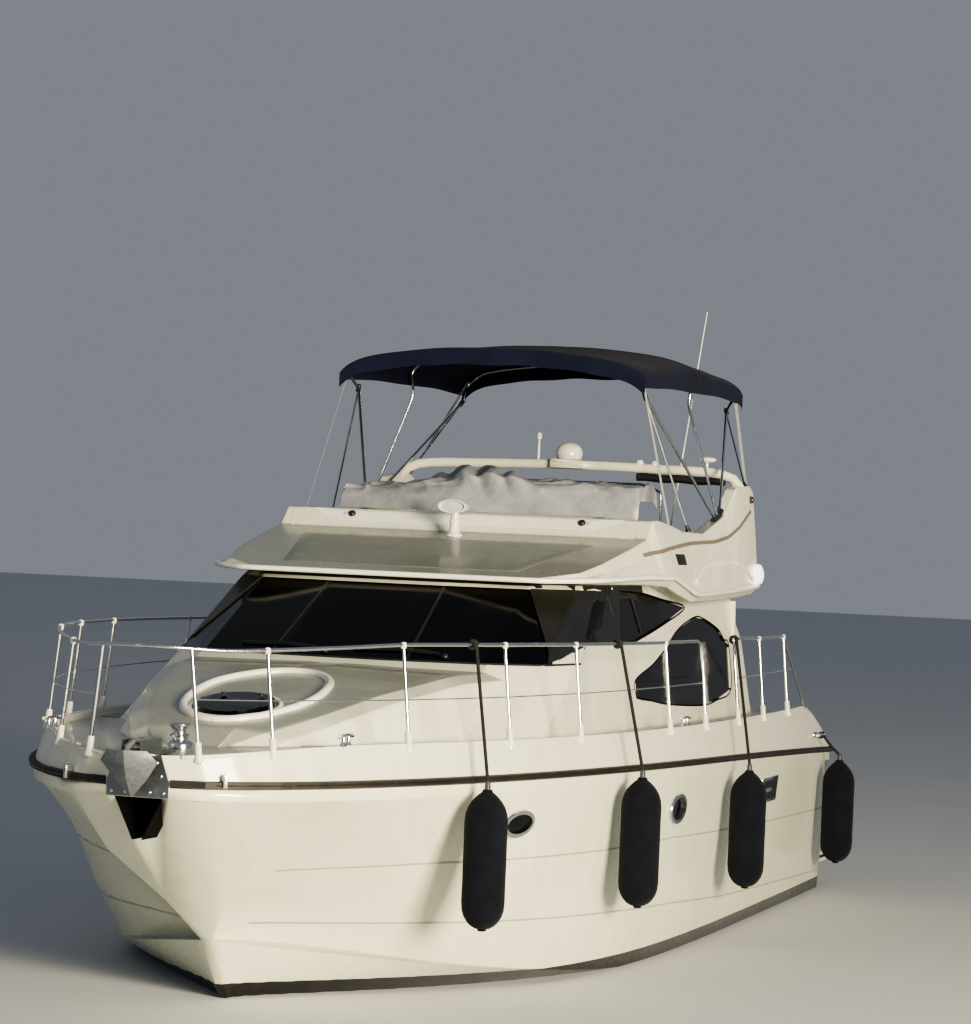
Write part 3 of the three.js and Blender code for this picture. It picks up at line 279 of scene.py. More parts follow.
hull_gelcoat, tree, shader, hull_white = gelcoat_finish("gelcoat_topsides", "#DDDFC8", "#C8CAB0")
BOOT_TOP = 0.1
place = add_node(tree, "ShaderNodeTexCoord").outputs["Object"]
height = add_node(tree, "ShaderNodeSeparateXYZ", None, {0: place}).outputs["Z"]
below_boot = add_node(tree, "ShaderNodeMath", {"operation": "LESS_THAN", 1: BOOT_TOP}, {0: height})
below_water = add_node(tree, "ShaderNodeMath", {"operation": "LESS_THAN", 1: 0.0}, {0: height})
scum = add_node(tree, "ShaderNodeTexNoise", {"Scale": 6.0, "Detail": 6.0}, {"Vector": place})
antifouling = work_in(tree, shader, scum.outputs["Fac"], ("#14161B", "#23272B"), (0.35, 0.7))
with_boot = add_node(
    tree,
    "ShaderNodeMix",
    {"data_type": "RGBA", 7: linear("#020203")},
    {0: below_boot.outputs[0], 6: hull_white},
)
with_paint = add_node(
    tree,
    "ShaderNodeMix",
    {"data_type": "RGBA"},
    {0: below_water.outputs[0], 6: with_boot.outputs[2], 7: antifouling},
)
tree.links.new(with_paint.outputs[2], shader.inputs["Base Color"])
hull_shell = moulding("hull", "hull_moulding", hull_gelcoat, "gelcoat")

# Knuckle lines: two slim steps run along each side of the mould, drawn as thin lines of painted shade with a
# little dirt in them. Rows are distance forward and height.


def skinned(name, columns, rows, place, outward):
    """An open skin from a grid: place gives the point for a share along and a share across, each 0 to 1."""
    bpy.ops.object.select_all(action="DESELECT")
    bpy.ops.mesh.primitive_grid_add(x_subdivisions=columns, y_subdivisions=rows, size=2, location=(0, 0, 0))
    item = bpy.context.object
    item.name = name
    for vertex in item.data.vertices:
        vertex.co = place((vertex.co.x + 1) / 2, (vertex.co.y + 1) / 2)
    item.data.update()
    facing = sum((face.normal * face.area for face in item.data.polygons), Vector())
    if facing.dot(Vector(outward)) < 0:
        item.data.flip_normals()
    return item


def run_length(points):
    """The length of a line of points."""
    return sum((b - a).length for a, b in zip(points, points[1:]))


def along_route(route, share):
    """The point at a share of the length of a line of points."""
    points = [Vector(point) for point in route]
    steps = [(b - a).length for a, b in zip(points, points[1:])]
    left = share * run_length(points)
    for start, end, step in zip(points, points[1:], steps):
        if left <= step or end is points[-1]:
            return start.lerp(end, min(1.0, left / step))
        left -= step


def skin_of(item):
    """The surface of a piece, to find points on."""
    return BVHTree.FromObject(item, bpy.context.evaluated_depsgraph_get())


def beside(skin, x, z, side=1, reach=3.0):
    """The point and normal where a line from the side meets a surface."""
    point, normal, _, _ = skin.ray_cast(Vector((x, side * reach, z)), Vector((0, -side, 0)))
    if point is None:
        point, normal, _, _ = skin.find_nearest(Vector((x, side * reach, z)))
    return point, normal


def bead(name, skin, route, width, proud, side=1, steps=180):
    """A flat bead that follows a line of distances forward and heights along a side of a surface."""

    def place(share, across):
        x, z = along_route(route, share)
        ahead = along_route(route, min(1.0, share + 0.01)) - along_route(route, max(0.0, share - 0.01))
        over = Vector((-ahead.y, ahead.x)).normalized() * width * (across - 0.5)
        point, normal = beside(skin, x + over.x, z + over.y, side)
        return point + normal * 0.0015

    item = skinned(name, steps, 2, place, (0, side, 0))
    apply_modifier(item, "SOLIDIFY", thickness=proud, offset=1.0)
    round_edges(item, min(proud, width) * 0.4)
    return item


hull_skin = skin_of(hull_shell)
SIDES = ((1, "port"), (-1, "starboard"))
BEAD_WIDTH = 0.011
BEAD_PROUD = 0.0015
# The beads' darker gelcoat is painted shade for the steps' shadow lines, with a little real dirt in it.
grime_and_shade_gelcoat, *_ = gelcoat_finish("gelcoat_grime_and_painted_shade", "#A9A89B", "#8F8E80", 0.4)
upper_bead = [
    (4.75, 0.9), (4.227, 0.909), (3.871, 0.92), (3.142, 0.914), (1.792, 0.894), (0.415, 0.888),
    (-1.036, 0.841), (-5.5, 0.72),
]
lower_bead = [
    (4.4, 0.52), (3.547, 0.501), (2.898, 0.482), (1.594, 0.439), (0.136, 0.385), (-1.383, 0.299),
    (-5.5, 0.16),
]
for row, route in enumerate((upper_bead, lower_bead)):
    for side, label in SIDES:
        step_line = bead(f"hull_step_{row + 1}_{label}", hull_skin, route, BEAD_WIDTH, BEAD_PROUD, side)
        dress(step_line, grime_and_shade_gelcoat, "gelcoat")

# Hull ports: oval and round opening ports of smoked acrylic in polished oval frames, screwed through the
# side. Rows are distance forward, height, half length and half height.
PORT_FRAME = 0.027
PORT_PROUD = 0.024


def steel_finish(name, hex_colour, roughness, streak=120.0):
    """Metal polished till it mirrors, with hairlines from the buffing wheel and dried salt spots."""
    material, tree, shader = new_finish(name, hex_colour, roughness, 1.0)
    place = add_node(tree, "ShaderNodeTexCoord").outputs["Object"]
    hairs = add_node(tree, "ShaderNodeTexNoise", {"Scale": streak, "Detail": 2.0}, {"Vector": place})
    spots = add_node(
        tree, "ShaderNodeTexNoise", {"Scale": 14.0, "Detail": 5.0, "Roughness": 0.7}, {"Vector": place}
    )
    dull = add_node(
        tree,
        "ShaderNodeMapRange",
        {"From Min": 0.5, "From Max": 0.72, "To Min": roughness, "To Max": roughness + 0.22},
        {"Value": spots.outputs["Fac"]},
    )
    bump = add_node(
        tree, "ShaderNodeBump", {"Strength": 0.06, "Distance": 0.0003}, {"Height": hairs.outputs["Fac"]}
    )
    tree.links.new(dull.outputs["Result"], shader.inputs["Roughness"])
    tree.links.new(bump.outputs["Normal"], shader.inputs["Normal"])
    return material


def glass_finish(name, hex_colour, clear, roughness=0.06, specular=0.5):
    """Tinted sheet: nearly black from outside, with a hard gloss and fine dust that dulls it in patches."""
    material, tree, shader = new_finish(name, hex_colour, roughness)
    place = add_node(tree, "ShaderNodeTexCoord").outputs["Object"]
    dust = add_node(tree, "ShaderNodeTexNoise", {"Scale": 3.0, "Detail": 6.0}, {"Vector": place})
    dull = add_node(
        tree,
        "ShaderNodeMapRange",
        {"From Min": 0.45, "From Max": 0.75, "To Min": roughness, "To Max": roughness + 0.14},
        {"Value": dust.outputs["Fac"]},
    )
    tree.links.new(dull.outputs["Result"], shader.inputs["Roughness"])
    shader.inputs["Transmission Weight"].default_value = clear
    shader.inputs["IOR"].default_value = 1.49
    shader.inputs["Specular IOR Level"].default_value = specular
    return material


polished_steel = steel_finish("stainless_steel_polished", "#D5D7D8", 0.14)
smoked_acrylic = glass_finish("acrylic_smoked", "#040405", 0.0, specular=0.2)


def settle(item):
    """Puts a piece's place, turn and size into its mesh, with its faces outward."""
    only(item)
    bpy.ops.object.transform_apply(location=True, rotation=True, scale=True)
    bpy.ops.object.mode_set(mode="EDIT")
    bpy.ops.mesh.select_all(action="SELECT")
    bpy.ops.mesh.remove_doubles(threshold=0.00005)
    bpy.ops.mesh.normals_make_consistent(inside=False)
    bpy.ops.object.mode_set(mode="OBJECT")
    return item


def turned(name, rows, place=(0, 0, 0), axis=(0, 0, 1), sides=24, flat=(1, 1)):
    """A turned piece: rows are radius and height along its axis, and flat squeezes its round section."""
    bpy.ops.object.select_all(action="DESELECT")
    radius, height = rows[0]
    bpy.ops.mesh.primitive_circle_add(
        vertices=sides, radius=radius, fill_type="NGON", location=(0, 0, height)
    )
    item = bpy.context.object
    item.name = name
    bpy.ops.object.transform_apply(location=True)
    bpy.ops.object.mode_set(mode="EDIT")
    bpy.ops.mesh.select_all(action="SELECT")
    for next_radius, next_height in rows[1:]:
        rise = next_height - height
        bpy.ops.mesh.extrude_region_move(TRANSFORM_OT_translate={"value": (0, 0, rise)})
        share = next_radius / radius
        bpy.ops.transform.resize(value=(share, share, 1), center_override=(0, 0, next_height))
        radius, height = next_radius, next_height
    bpy.ops.object.mode_set(mode="OBJECT")
    item.scale = (flat[0], flat[1], 1)
    only(item)
    bpy.ops.object.transform_apply(scale=True)
    item.rotation_euler = Vector(axis).to_track_quat("Z", "Y").to_euler()
    item.location = place
    settle(item)
    smooth(item, 40)
    return item


def ring_frame(name, place, turn, half_long, half_high, width, proud, sides=40):
    """An oval frame of a half-round section, standing on a surface."""
    rows = [(1.0, -0.01), (1.0, proud * 0.6), (0.97, proud)]
    frame_piece = turned(name, rows, (0, 0, 0), (0, 0, 1), sides)
    only(frame_piece)
    for vertex in frame_piece.data.vertices:
        vertex.co.x *= half_long
        vertex.co.y *= half_high
    bpy.ops.object.mode_set(mode="EDIT")
    bpy.ops.mesh.select_all(action="DESELECT")
    bpy.ops.object.mode_set(mode="OBJECT")
    top = max(frame_piece.data.polygons, key=lambda face: face.center.z)
    top.select = True
    bpy.ops.object.mode_set(mode="EDIT")
    bpy.ops.mesh.select_mode(type="FACE")
    bpy.ops.mesh.inset(thickness=width)
    bpy.ops.mesh.extrude_region_move(TRANSFORM_OT_translate={"value": (0, 0, -proud * 1.3)})
    bpy.ops.mesh.delete(type="FACE")
    bpy.ops.object.mode_set(mode="OBJECT")
    frame_piece.rotation_euler = turn
    frame_piece.location = place
    settle(frame_piece)
    smooth(frame_piece, 35)
    return frame_piece


def on_side(normal, up=(0, 0, 1)):
    """The turn that stands a piece on a surface, its length level."""
    z_axis = Vector(normal).normalized()
    x_axis = Vector(up).cross(z_axis).normalized()
    y_axis = z_axis.cross(x_axis)
    return Matrix((x_axis, y_axis, z_axis)).transposed().to_euler()


hull_ports = [(3.168, 1.16, 0.185, 0.098), (0.389, 1.1, 0.2, 0.114)]
for row, (x, z, half_long, half_high) in enumerate(hull_ports):
    for side, label in SIDES:
        point, normal = beside(hull_skin, x, z, side)
        name = f"hull_port_{row + 1}_frame_{label}"
        rim = ring_frame(name, point, on_side(normal), half_long, half_high, PORT_FRAME, PORT_PROUD)
        dress(rim, polished_steel, "polished_steel")
        pane_rows = [(1.0, -0.003), (1.0, 0.003), (0.6, 0.006), (0.05, 0.007)]
        pane = turned(f"hull_port_{row + 1}_pane_{label}", pane_rows, sides=32)
        pane.scale = (half_long - PORT_FRAME * 0.9, half_high - PORT_FRAME * 0.9, 1)
        pane.rotation_euler = on_side(normal)
        pane.location = point
        settle(pane)
        dress(pane, smoked_acrylic, "dark_glass")

# Engine room vent: a pressed bright frame round two dark slots on each quarter, which the engines breathe
# through.
moulded_black, *_ = patterned_finish(
    "abs_moulded_black", "#101113", 0.5, {"Scale": 5.0, "Detail": 4.0}, ("#0D0E10", "#1C1D1F"),
    grit=("ShaderNodeTexVoronoi", {"Scale": 700.0}), relief=(0.12, 0.0003),
)


def block(name, size, place, turn=(0, 0, 0), edge=0.004, segments=3):
    """A block with rounded edges at its size and place."""
    bpy.ops.object.select_all(action="DESELECT")
    bpy.ops.mesh.primitive_cube_add(size=1, location=place, rotation=turn)
    item = bpy.context.object
    item.name = name
    item.scale = size
    settle(item)
    if edge:
        apply_modifier(item, "BEVEL", width=edge, segments=segments, limit_method="ANGLE")
        smooth(item, 40)
    return item


VENT = {"x": -2.62, "z": 1.06, "half_long": 0.32, "half_high": 0.105}
for side, label in SIDES:
    point, normal = beside(hull_skin, VENT["x"], VENT["z"], side)
    turn = on_side(normal)
    half_long, half_high = VENT["half_long"], VENT["half_high"]
    plate = block(f"vent_frame_{label}", (half_long * 2, half_high * 2, 0.02), point, turn, edge=0.007)
    dress(plate, polished_steel, "polished_steel")
    for slot_row, lift in enumerate((0.048, -0.048)):
        up = turn.to_matrix() @ Vector((0, lift, 0.006))
        slot_piece = block(
            f"vent_slot_{slot_row + 1}_{label}", (
                half_long * 1.72, 0.066, 0.012
            ), point + up, turn, edge=0.003
        )
        dress(slot_piece, moulded_black, "black_plastic")
        for fin in range(3):
            drop = turn.to_matrix() @ Vector((0, lift - 0.02 + fin * 0.02, 0.0135))
            fin_name = f"vent_fin_{slot_row + 1}_{fin + 1}_{label}"
            louvre = block(fin_name, (half_long * 1.66, 0.004, 0.007), point + drop, turn, edge=0)
            dress(louvre, moulded_black, "black_plastic")

# Anchor pocket: the notch in the stem under the band is lined with a near-black sheet, painted shade for the
# dark of the recess. Rows are height and half width, and the lining stands just inside the pocket's walls.
POCKET_BACK_X = 5.493
pocket_corners = [(1.128, 0.03), (1.384, 0.155)]


def pocket_place(share, across):
    """A point on the lining: down the starboard wall, across the back and up the port wall."""
    (low_z, low_y), (high_z, high_y) = pocket_corners
    z = low_z + (high_z - low_z) * across
    y = low_y + (high_y - low_y) * across
    if share < 0.3:
        return Vector((POCKET_BACK_X + (5.735 - POCKET_BACK_X) * (1 - share / 0.3), -y, z))
    if share > 0.7:
        return Vector((POCKET_BACK_X + (5.735 - POCKET_BACK_X) * (share - 0.7) / 0.3, y, z))
    return Vector((POCKET_BACK_X, y * (share - 0.5) / 0.2, z))


# Near-black rubber: real on the window gaskets, and painted shade on the lining of the stem's notch.
black_rubber_and_pocket_shade, *_ = patterned_finish(
    "rubber_black_and_painted_pocket_shade", "#040404", 0.8, {"Scale": 25.0, "Detail": 5.0}, ("#010101", "#050505"),
    relief=(0.2, 0.001), gloss={"Specular IOR Level": 0.1},
)
# The lining's near-black colour is painted shade for the dark inside the anchor pocket.
lining = skinned("anchor_pocket_shade_lining", 20, 4, pocket_place, (1, 0, 0))
apply_modifier(lining, "SOLIDIFY", thickness=0.002, offset=1.0)
dress(lining, black_rubber_and_pocket_shade, "strake_rubber")

# Rub strake: an extruded dark rubber moulding along the sheer, with a half-round stainless strip down its
# face that takes the knocks. The strip is screwed on in lengths, so it shows short breaks.
strake_rubber, *_ = patterned_finish(
    "rubber_extruded_dark", "#0D0A09", 0.6, {"Scale": 7.0, "Detail": 5.0}, ("#0A0807", "#221B19"),
    (0.35, 0.8), ("ShaderNodeTexNoise", {"Scale": 90.0, "Detail": 3.0}), (0.15, 0.0006),
)
for side, label in SIDES:
    moulding(f"rub_strake_{label}", f"rub_strake_{label}_rubber", strake_rubber, "strake_rubber", degrees=28)

TRANSOM_X = -5.567
BOW_X = 5.75
BOW_HALF_WIDTH = 0.21
BEAM_X = -0.8
HALF_BEAM = 2.037
TRANSOM_HALF_BEAM = 1.847


def mix(start, end, share):
    return start + (end - start) * share


def limited(share):
    return min(1.0, max(0.0, share))


def sheer_z(x):
    """Height of the sheer, a curve through the transom, the middle and the bow."""
    share = (x - TRANSOM_X) / (5.611 - TRANSOM_X)
    aft = 1.246 * (share - 0.45) * (share - 1) / 0.45
    middle = 1.42 * share * (share - 1) / (0.45 * (0.45 - 1))
    return aft + middle + 1.486 * share * (share - 0.45) / 0.55


def sheer_y(x):
    """Half beam at the sheer."""
    if x > BEAM_X:
        share = max(0.0, (BOW_X - x) / (BOW_X - BEAM_X))
        return BOW_HALF_WIDTH + (HALF_BEAM - BOW_HALF_WIDTH) * (1 - (1 - share) ** 2.4) ** 0.6
    return HALF_BEAM - (HALF_BEAM - TRANSOM_HALF_BEAM) * ((BEAM_X - x) / (BEAM_X - TRANSOM_X)) ** 2


def outside_sheer(x, out, up, side=1):
    """A point that stands out from the sheer, square to it."""
    slope = (sheer_y(x) - sheer_y(x - 0.03)) / 0.03
    length = math.hypot(slope, 1)
    return Vector((x - out * slope / length, side * (sheer_y(x) + out / length), sheer_z(x) + up))


def round_curve(name, points, radius, resolution, ends=True):
    """A curve with a round section through a list of points, with closed ends."""
    curve = bpy.data.curves.new(name, "CURVE")
    curve.dimensions = "3D"
    curve.bevel_depth = radius
    curve.bevel_resolution = resolution
    curve.use_fill_caps = ends
    spline = curve.splines.new("POLY")
    spline.points.add(len(points) - 1)
    for knot, point in zip(spline.points, points):
        knot.co = (*point, 1)
    item = bpy.data.objects.new(name, curve)
    scene.collection.objects.link(item)
    return item


def bar(name, points, radius, sides=12, ends=True):
    """A round bar through a list of points."""
    only(round_curve(name, points, radius, max(1, sides // 4 - 1), ends))
    bpy.ops.object.convert(target="MESH")
    item = bpy.context.object
    settle(item)
    smooth(item, 50)
    return item


def bent(points, steps=6):
    """Points along a smooth curve through a few given ones."""
    knots = [Vector(point) for point in points]
    knots = [knots[0] * 2 - knots[1], *knots, knots[-1] * 2 - knots[-2]]
    line = []
    for a, b, c, d in zip(knots, knots[1:], knots[2:], knots[3:]):
        for step in range(steps):
            t = step / steps
            line.append(
                0.5 * (
                    2 * b + (c - a) * t + (2 * a - 5 * b + 4 * c - d) * t**2 + (3 * b - a - 3 * c + d) * t**3
                )
            )
    return [*line, knots[-2]]


def joined(name, pieces):
    """Makes one piece of several."""
    only(*pieces)
    bpy.ops.object.join()
    pieces[0].name = name
    return pieces[0]


tarnished_steel = steel_finish("stainless_steel_tarnished", "#6B5B4C", 0.3)
STRIP_BREAKS = [-5.54, -4.7, -3.2, -1.5, 0.2, 1.9, 3.4, 4.6, 5.3, 5.66]
STRIP_GAP = 0.012
STRIP_REACH = 0.034
for side, label in SIDES:
    lengths = []
    for row, (start, end) in enumerate(zip(STRIP_BREAKS, STRIP_BREAKS[1:])):
        xs = [mix(start + STRIP_GAP, end - STRIP_GAP, step / 14) for step in range(15)]
        line = [outside_sheer(x, STRIP_REACH, -0.005, side) for x in xs]
        lengths.append(bar(f"strip_{row}", line, 0.0035, 8))
    strip = joined(f"strake_strip_{label}", lengths)
    dress(strip, tarnished_steel, "polished_steel")

# Bow fitting: a folded stainless plate over the stem head, with the channel and nylon roller that the anchor
# rides in. Sea air has dulled it to a satin grey.
weathered_steel = steel_finish("stainless_steel_satin", "#7F8489", 0.42, 60.0)
moulding("bow_roller_plate", "bow_roller_channel", weathered_steel, "polished_steel", degrees=25)
for side, label in SIDES:
    bolts = [
        turned(
            "bolt", [(0.012, 0), (0.012, 0.004), (0.007, 0.009)], (BOW_X + 0.008, side * y, z), (1, 0, 0), 8
        )
        for y, z in ((0.17, 1.42), (0.08, 1.42), (0.15, 1.52), (0.12, 1.6))
    ]
    dress(joined(f"bow_plate_bolts_{label}", bolts), polished_steel, "polished_steel")

# Anchor: a hot-dip galvanised plough that hangs under the bow with its shank in the channel. Zinc leaves a
# grey spangle of crystals about 20 mm across.
zinc, tree, shader = new_finish("steel_hot_dip_galvanised", "#7A7F84", 0.5, 0.75)
place = add_node(tree, "ShaderNodeTexCoord").outputs["Object"]
spangle = add_node(tree, "ShaderNodeTexVoronoi", {"Scale": 50.0}, {"Vector": place}).outputs
work_in(
    tree, shader, spangle["Color"], ("#70757A", "#8B9095"), height=spangle["Distance"], relief=(0.1, 0.0005)
)
plough = welded_copy("anchor", "plough_anchor")
round_edges(plough, 0.003, 35)
smooth(plough, 30)
dress(plough, zinc, "galvanised_steel", node="anchor")

# Windlass and chain: a low anchor winch with a chromed drum and gypsy on a round foot. Its galvanised chain
# runs forward to the shank's end.
WINCH_X = 5.13
foot_low, foot_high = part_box("windlass")
winch_rows = [
    (0.094, foot_low.z + 0.002),
    (0.094, foot_low.z + 0.03),
    (0.088, foot_low.z + 0.04),
    (0.058, foot_low.z + 0.055),
    (0.054, foot_low.z + 0.075),
    (0.066, foot_low.z + 0.084),
    (0.05, foot_low.z + 0.094),
    (0.047, foot_high.z - 0.045),
    (0.052, foot_high.z - 0.03),
    (0.069, foot_high.z - 0.018),
    (0.069, foot_high.z - 0.008),
    (0.06, foot_high.z - 0.002),
    (0.02, foot_high.z),
]
winch = turned("windlass_drum", winch_rows, (WINCH_X, 0, 0), sides=36)
dress(winch, polished_steel, "polished_steel", node="windlass")


def link_ring(name, place, turn, long=0.018, wide=0.011, wire=0.0032):
    """One oval link of chain."""
    bpy.ops.object.select_all(action="DESELECT")
    bpy.ops.mesh.primitive_torus_add(
        major_segments=10, minor_segments=5, major_radius=wide, minor_radius=wire
    )
    item = bpy.context.object
    item.name = name
    for vertex in item.data.vertices:
        vertex.co.x += math.copysign(long - wide, vertex.co.x)
    item.rotation_euler = turn
    item.location = place
    return item


chain_start, chain_end = Vector((5.185, 0, 1.735)), Vector((5.36, 0, 1.694))
CHAIN_LINKS = 9
links = []
for row in range(CHAIN_LINKS):
    place = chain_start.lerp(chain_end, row / (CHAIN_LINKS - 1))
    links.append(link_ring(f"link_{row}", place, (math.pi / 2 * (row % 2), math.radians(13), 0)))
chain = joined("anchor_chain", links)
settle(chain)
smooth(chain, 50)
dress(chain, zinc, "galvanised_steel")

# Deck: the upper moulding, gelcoat over glass fibre. The walking areas carry a moulded diamond tread about 11
# mm across, which holds grey-green dirt, and smooth gutters run between them.
DIRT_GREEN = "#656B64"


def weathered_gelcoat(name, hex_new, hex_old, roughness, share):
    """A gelcoat whose level surfaces hold grey-green dirt, up to a share, while its sides stay clean."""
    material, tree, shader, white = gelcoat_finish(name, hex_new, hex_old, roughness)
    facing = add_node(tree, "ShaderNodeNewGeometry").outputs["Normal"]
    facing_up = add_node(tree, "ShaderNodeSeparateXYZ", None, {0: facing}).outputs["Z"]
    level = add_node(
        tree,
        "ShaderNodeMapRange",
        {"From Min": 0.83, "From Max": 0.97, "To Min": 0.0, "To Max": share},
        {"Value": facing_up},
    )
    weathered = add_node(
        tree, "ShaderNodeMix", {"data_type": "RGBA", 7: linear(DIRT_GREEN)}, {
            0: level.outputs["Result"], 6: white
        }
    )
    tree.links.new(weathered.outputs[2], shader.inputs["Base Color"])
    return material


deck_gelcoat = weathered_gelcoat("gelcoat_deck", "#DCDCCA", "#C1C2AD", 0.34, 0.8)
deck_moulding = moulding("deck", "deck_moulding", deck_gelcoat, "gelcoat", cuts=3)

tread, tree, shader, _ = gelcoat_finish("gelcoat_diamond_tread", "#7C8175", "#696E62", 0.55)
place = add_node(tree, "ShaderNodeTexCoord").outputs["Object"]
squares = add_node(tree, "ShaderNodeMapping", {"Rotation": (0, 0, math.radians(45))}, {"Vector": place})
diamonds = add_node(
    tree,
    "ShaderNodeTexVoronoi",
    {"Scale": 90.0, "distance": "CHEBYCHEV", "Randomness": 0.0},
    {"Vector": squares.outputs[0]},
)
bump = add_node(
    tree,
    "ShaderNodeBump",
    {"Strength": 0.7, "Distance": 0.0015, "invert": True},
    {"Height": diamonds.outputs["Distance"]},
)
tree.links.new(bump.outputs["Normal"], shader.inputs["Normal"])
deck_skin = skin_of(deck_moulding)


def above(skin, x, y, top=3.0):
    """The point and normal where a line from above meets a surface."""
    point, normal, _, _ = skin.ray_cast(Vector((x, y, top)), Vector((0, 0, -1)))
    return point, normal


def tread_panel(name, skin, corners, lift=0.003, top=3.0, columns=24, rows=8):
    """A moulded tread panel on a level surface, between the two corners of one edge and of the other."""
    a, b, c, d = [Vector(corner) for corner in corners]

    def place(share, across):
        spot = a.lerp(b, share).lerp(d.lerp(c, share), across)
        point, _ = above(skin, spot.x, spot.y, top)
        return point + Vector((0, 0, 0.0008))

    panel = skinned(name, columns, rows, place, (0, 0, 1))
    apply_modifier(panel, "SOLIDIFY", thickness=lift, offset=1.0)
    round_edges(panel, lift * 0.6, 50)
    smooth(panel, 35)
    return panel


for side, label in SIDES:
    corners = [(x, side * y) for x, y in ((2.85, 0.09), (2.85, 0.92), (2.0, 1.12), (2.0, 0.09))]
    dress(tread_panel(f"trunk_tread_1_{label}", deck_skin, corners), tread, "gelcoat")


def gunwale_z(x):
    """Height of the bulwark's top."""
    rise = mix(1.65, 1.715, limited((x + 4) / 8))
    return rise - 0.07 * limited((x - 4.6) / 1.15) ** 2 - 0.32 * limited((-4.6 - x) / 0.967) ** 2


def gunwale_y(x):
    """Half width at the bulwark's outer top edge."""
    return sheer_y(x) - 0.35 * (gunwale_z(x) - sheer_z(x))


side_decks = [(-4.5, -3.3), (-3.2, -2.2), (-2.1, -1.1), (-1.0, 0.2), (0.3, 1.5), (1.6, 2.7), (2.8, 3.7)]
for row, (aft, fore) in enumerate(side_decks):
    for side, label in SIDES:
        outer = [gunwale_y(x) - 0.105 for x in (aft, fore)]
        inner = [max(1.45, gunwale_y(x) - 0.32) if x > -3.4 else 1.45 for x in (aft, fore)]
        if min(o - i for o, i in zip(outer, inner)) < 0.06:
            continue
        corners = [
            (aft, side * outer[0]), (fore, side * outer[1]), (fore, side * inner[1]), (aft, side * inner[0])
        ]
        panel = tread_panel(f"side_deck_tread_{row + 1}_{label}", deck_skin, corners, columns=16, rows=4)
        dress(panel, tread, "gelcoat")

# Gunwale edge: the bulwark's top is a rounded white edge that catches the light from end to end. It drops
# towards the stem and, more steeply, towards the transom.
for side, label in SIDES:
    xs = [mix(-5.5, 5.72, 1 - (1 - step / 70) ** 1.4) for step in range(71)]
    line = [Vector((x, side * (gunwale_y(x) - 0.011), gunwale_z(x) - 0.008)) for x in xs]
    roll = bar(f"gunwale_roll_{label}", line, 0.013, 12)
    dress(roll, deck_gelcoat, "gelcoat")

# Cabin: the superstructure's walls, one moulding with the side wings aft. Black paint covers the pillar
# between the screen and the side windows, and a black rubber section seals the panes all round.
house_gelcoat = weathered_gelcoat("gelcoat_superstructure", "#E3E3D0", "#C8C9B2", 0.28, 0.8)
cabin_moulding = moulding("cabin", "cabin_moulding", house_gelcoat, "gelcoat", degrees=28, cuts=3)
cabin_skin = skin_of(cabin_moulding)
GASKET_RADIUS = 0.009
CABIN_FORE_X = 0.6
screen_black, *_ = patterned_finish(
    "paint_pillar_black", "#0B0C0B", 0.35, {"Scale": 3.0, "Detail": 5.0}, ("#070707", "#191A18"),
    grit=("ShaderNodeTexNoise", {"Scale": 220.0}), relief=(0.05, 0.0003),
)


def front_point(angle, z, lift=0.003):
    """A point on the cabin's rounded front, by its angle from the bow seen from above, or on its top edge."""
    ahead = Vector((math.cos(angle), math.sin(angle), 0))
    point = None
    while point is None:
        point, normal, _, _ = cabin_skin.ray_cast(Vector((CABIN_FORE_X, 0, z)) + ahead * 6, -ahead)
        z -= 0.002
    return point + normal * lift


def from_ahead(skin, y, z):
    """The point and normal where a line from ahead meets a surface."""
    point, normal, _, _ = skin.ray_cast(Vector((6, y, z)), Vector((-1, 0, 0)))
    return point, normal


def strip(name, columns, rows, place, outward, finish, slot, proud=0.003):
    """A thin strip over a surface, or a thick one down into it, in its finish."""
    item = skinned(name, columns, rows, place, outward)
    apply_modifier(item, "SOLIDIFY", thickness=abs(proud), offset=1.0 if proud > 0 else -1.0)
    smooth(item, 35)
    return dress(item, finish, slot)


# Panes: dark tinted toughened glass bonded in flush with the cabin's sides. From outside it is nearly black,
# and the screen is a shade darker than the sides.
screen_glass = glass_finish("glass_windscreen", "#010102", 0.0, 0.1, specular=0.12)
side_glass = glass_finish("glass_side_tinted", "#0C0A07", 0.15, 0.05, specular=0.06)
screen_skin = skin_of(moulding("windscreen", "windscreen_pane", screen_glass, "dark_glass", degrees=25))
side_panes = {}
for place_name in ("fore_side_window", "aft_side_window"):
    for label in ("port", "starboard"):
        pane = moulding(
            f"{place_name}_{label}", f"{place_name}_{label}_pane", side_glass, "dark_glass", degrees=25
        )
        side_panes[f"{place_name}_{label}"] = skin_of(pane)

fore_outline = [
    (0.867, 2.662), (0, 2.662), (-0.5, 2.64), (-1.1, 2.585), (-1.75, 2.52), (-1.05, 2.395), (-0.47, 2.31),
    (-0.1, 2.275), (0.65, 2.28), (1.0, 2.29), (1.6, 2.175), (0.867, 2.662),
]
aft_outline = [
    (-0.18, 1.86), (-0.17, 1.99), (-0.68, 2.095), (-1.07, 2.205), (-1.5, 2.35), (-2.05, 2.44), (-2.38, 2.42),
    (-2.83, 2.33), (-3.0, 2.245), (-3.15, 2.2), (-3.15, 1.83), (-2.65, 1.76), (-2.15, 1.735), (-1.1, 1.78),
    (-0.55, 1.83), (-0.18, 1.86),
]


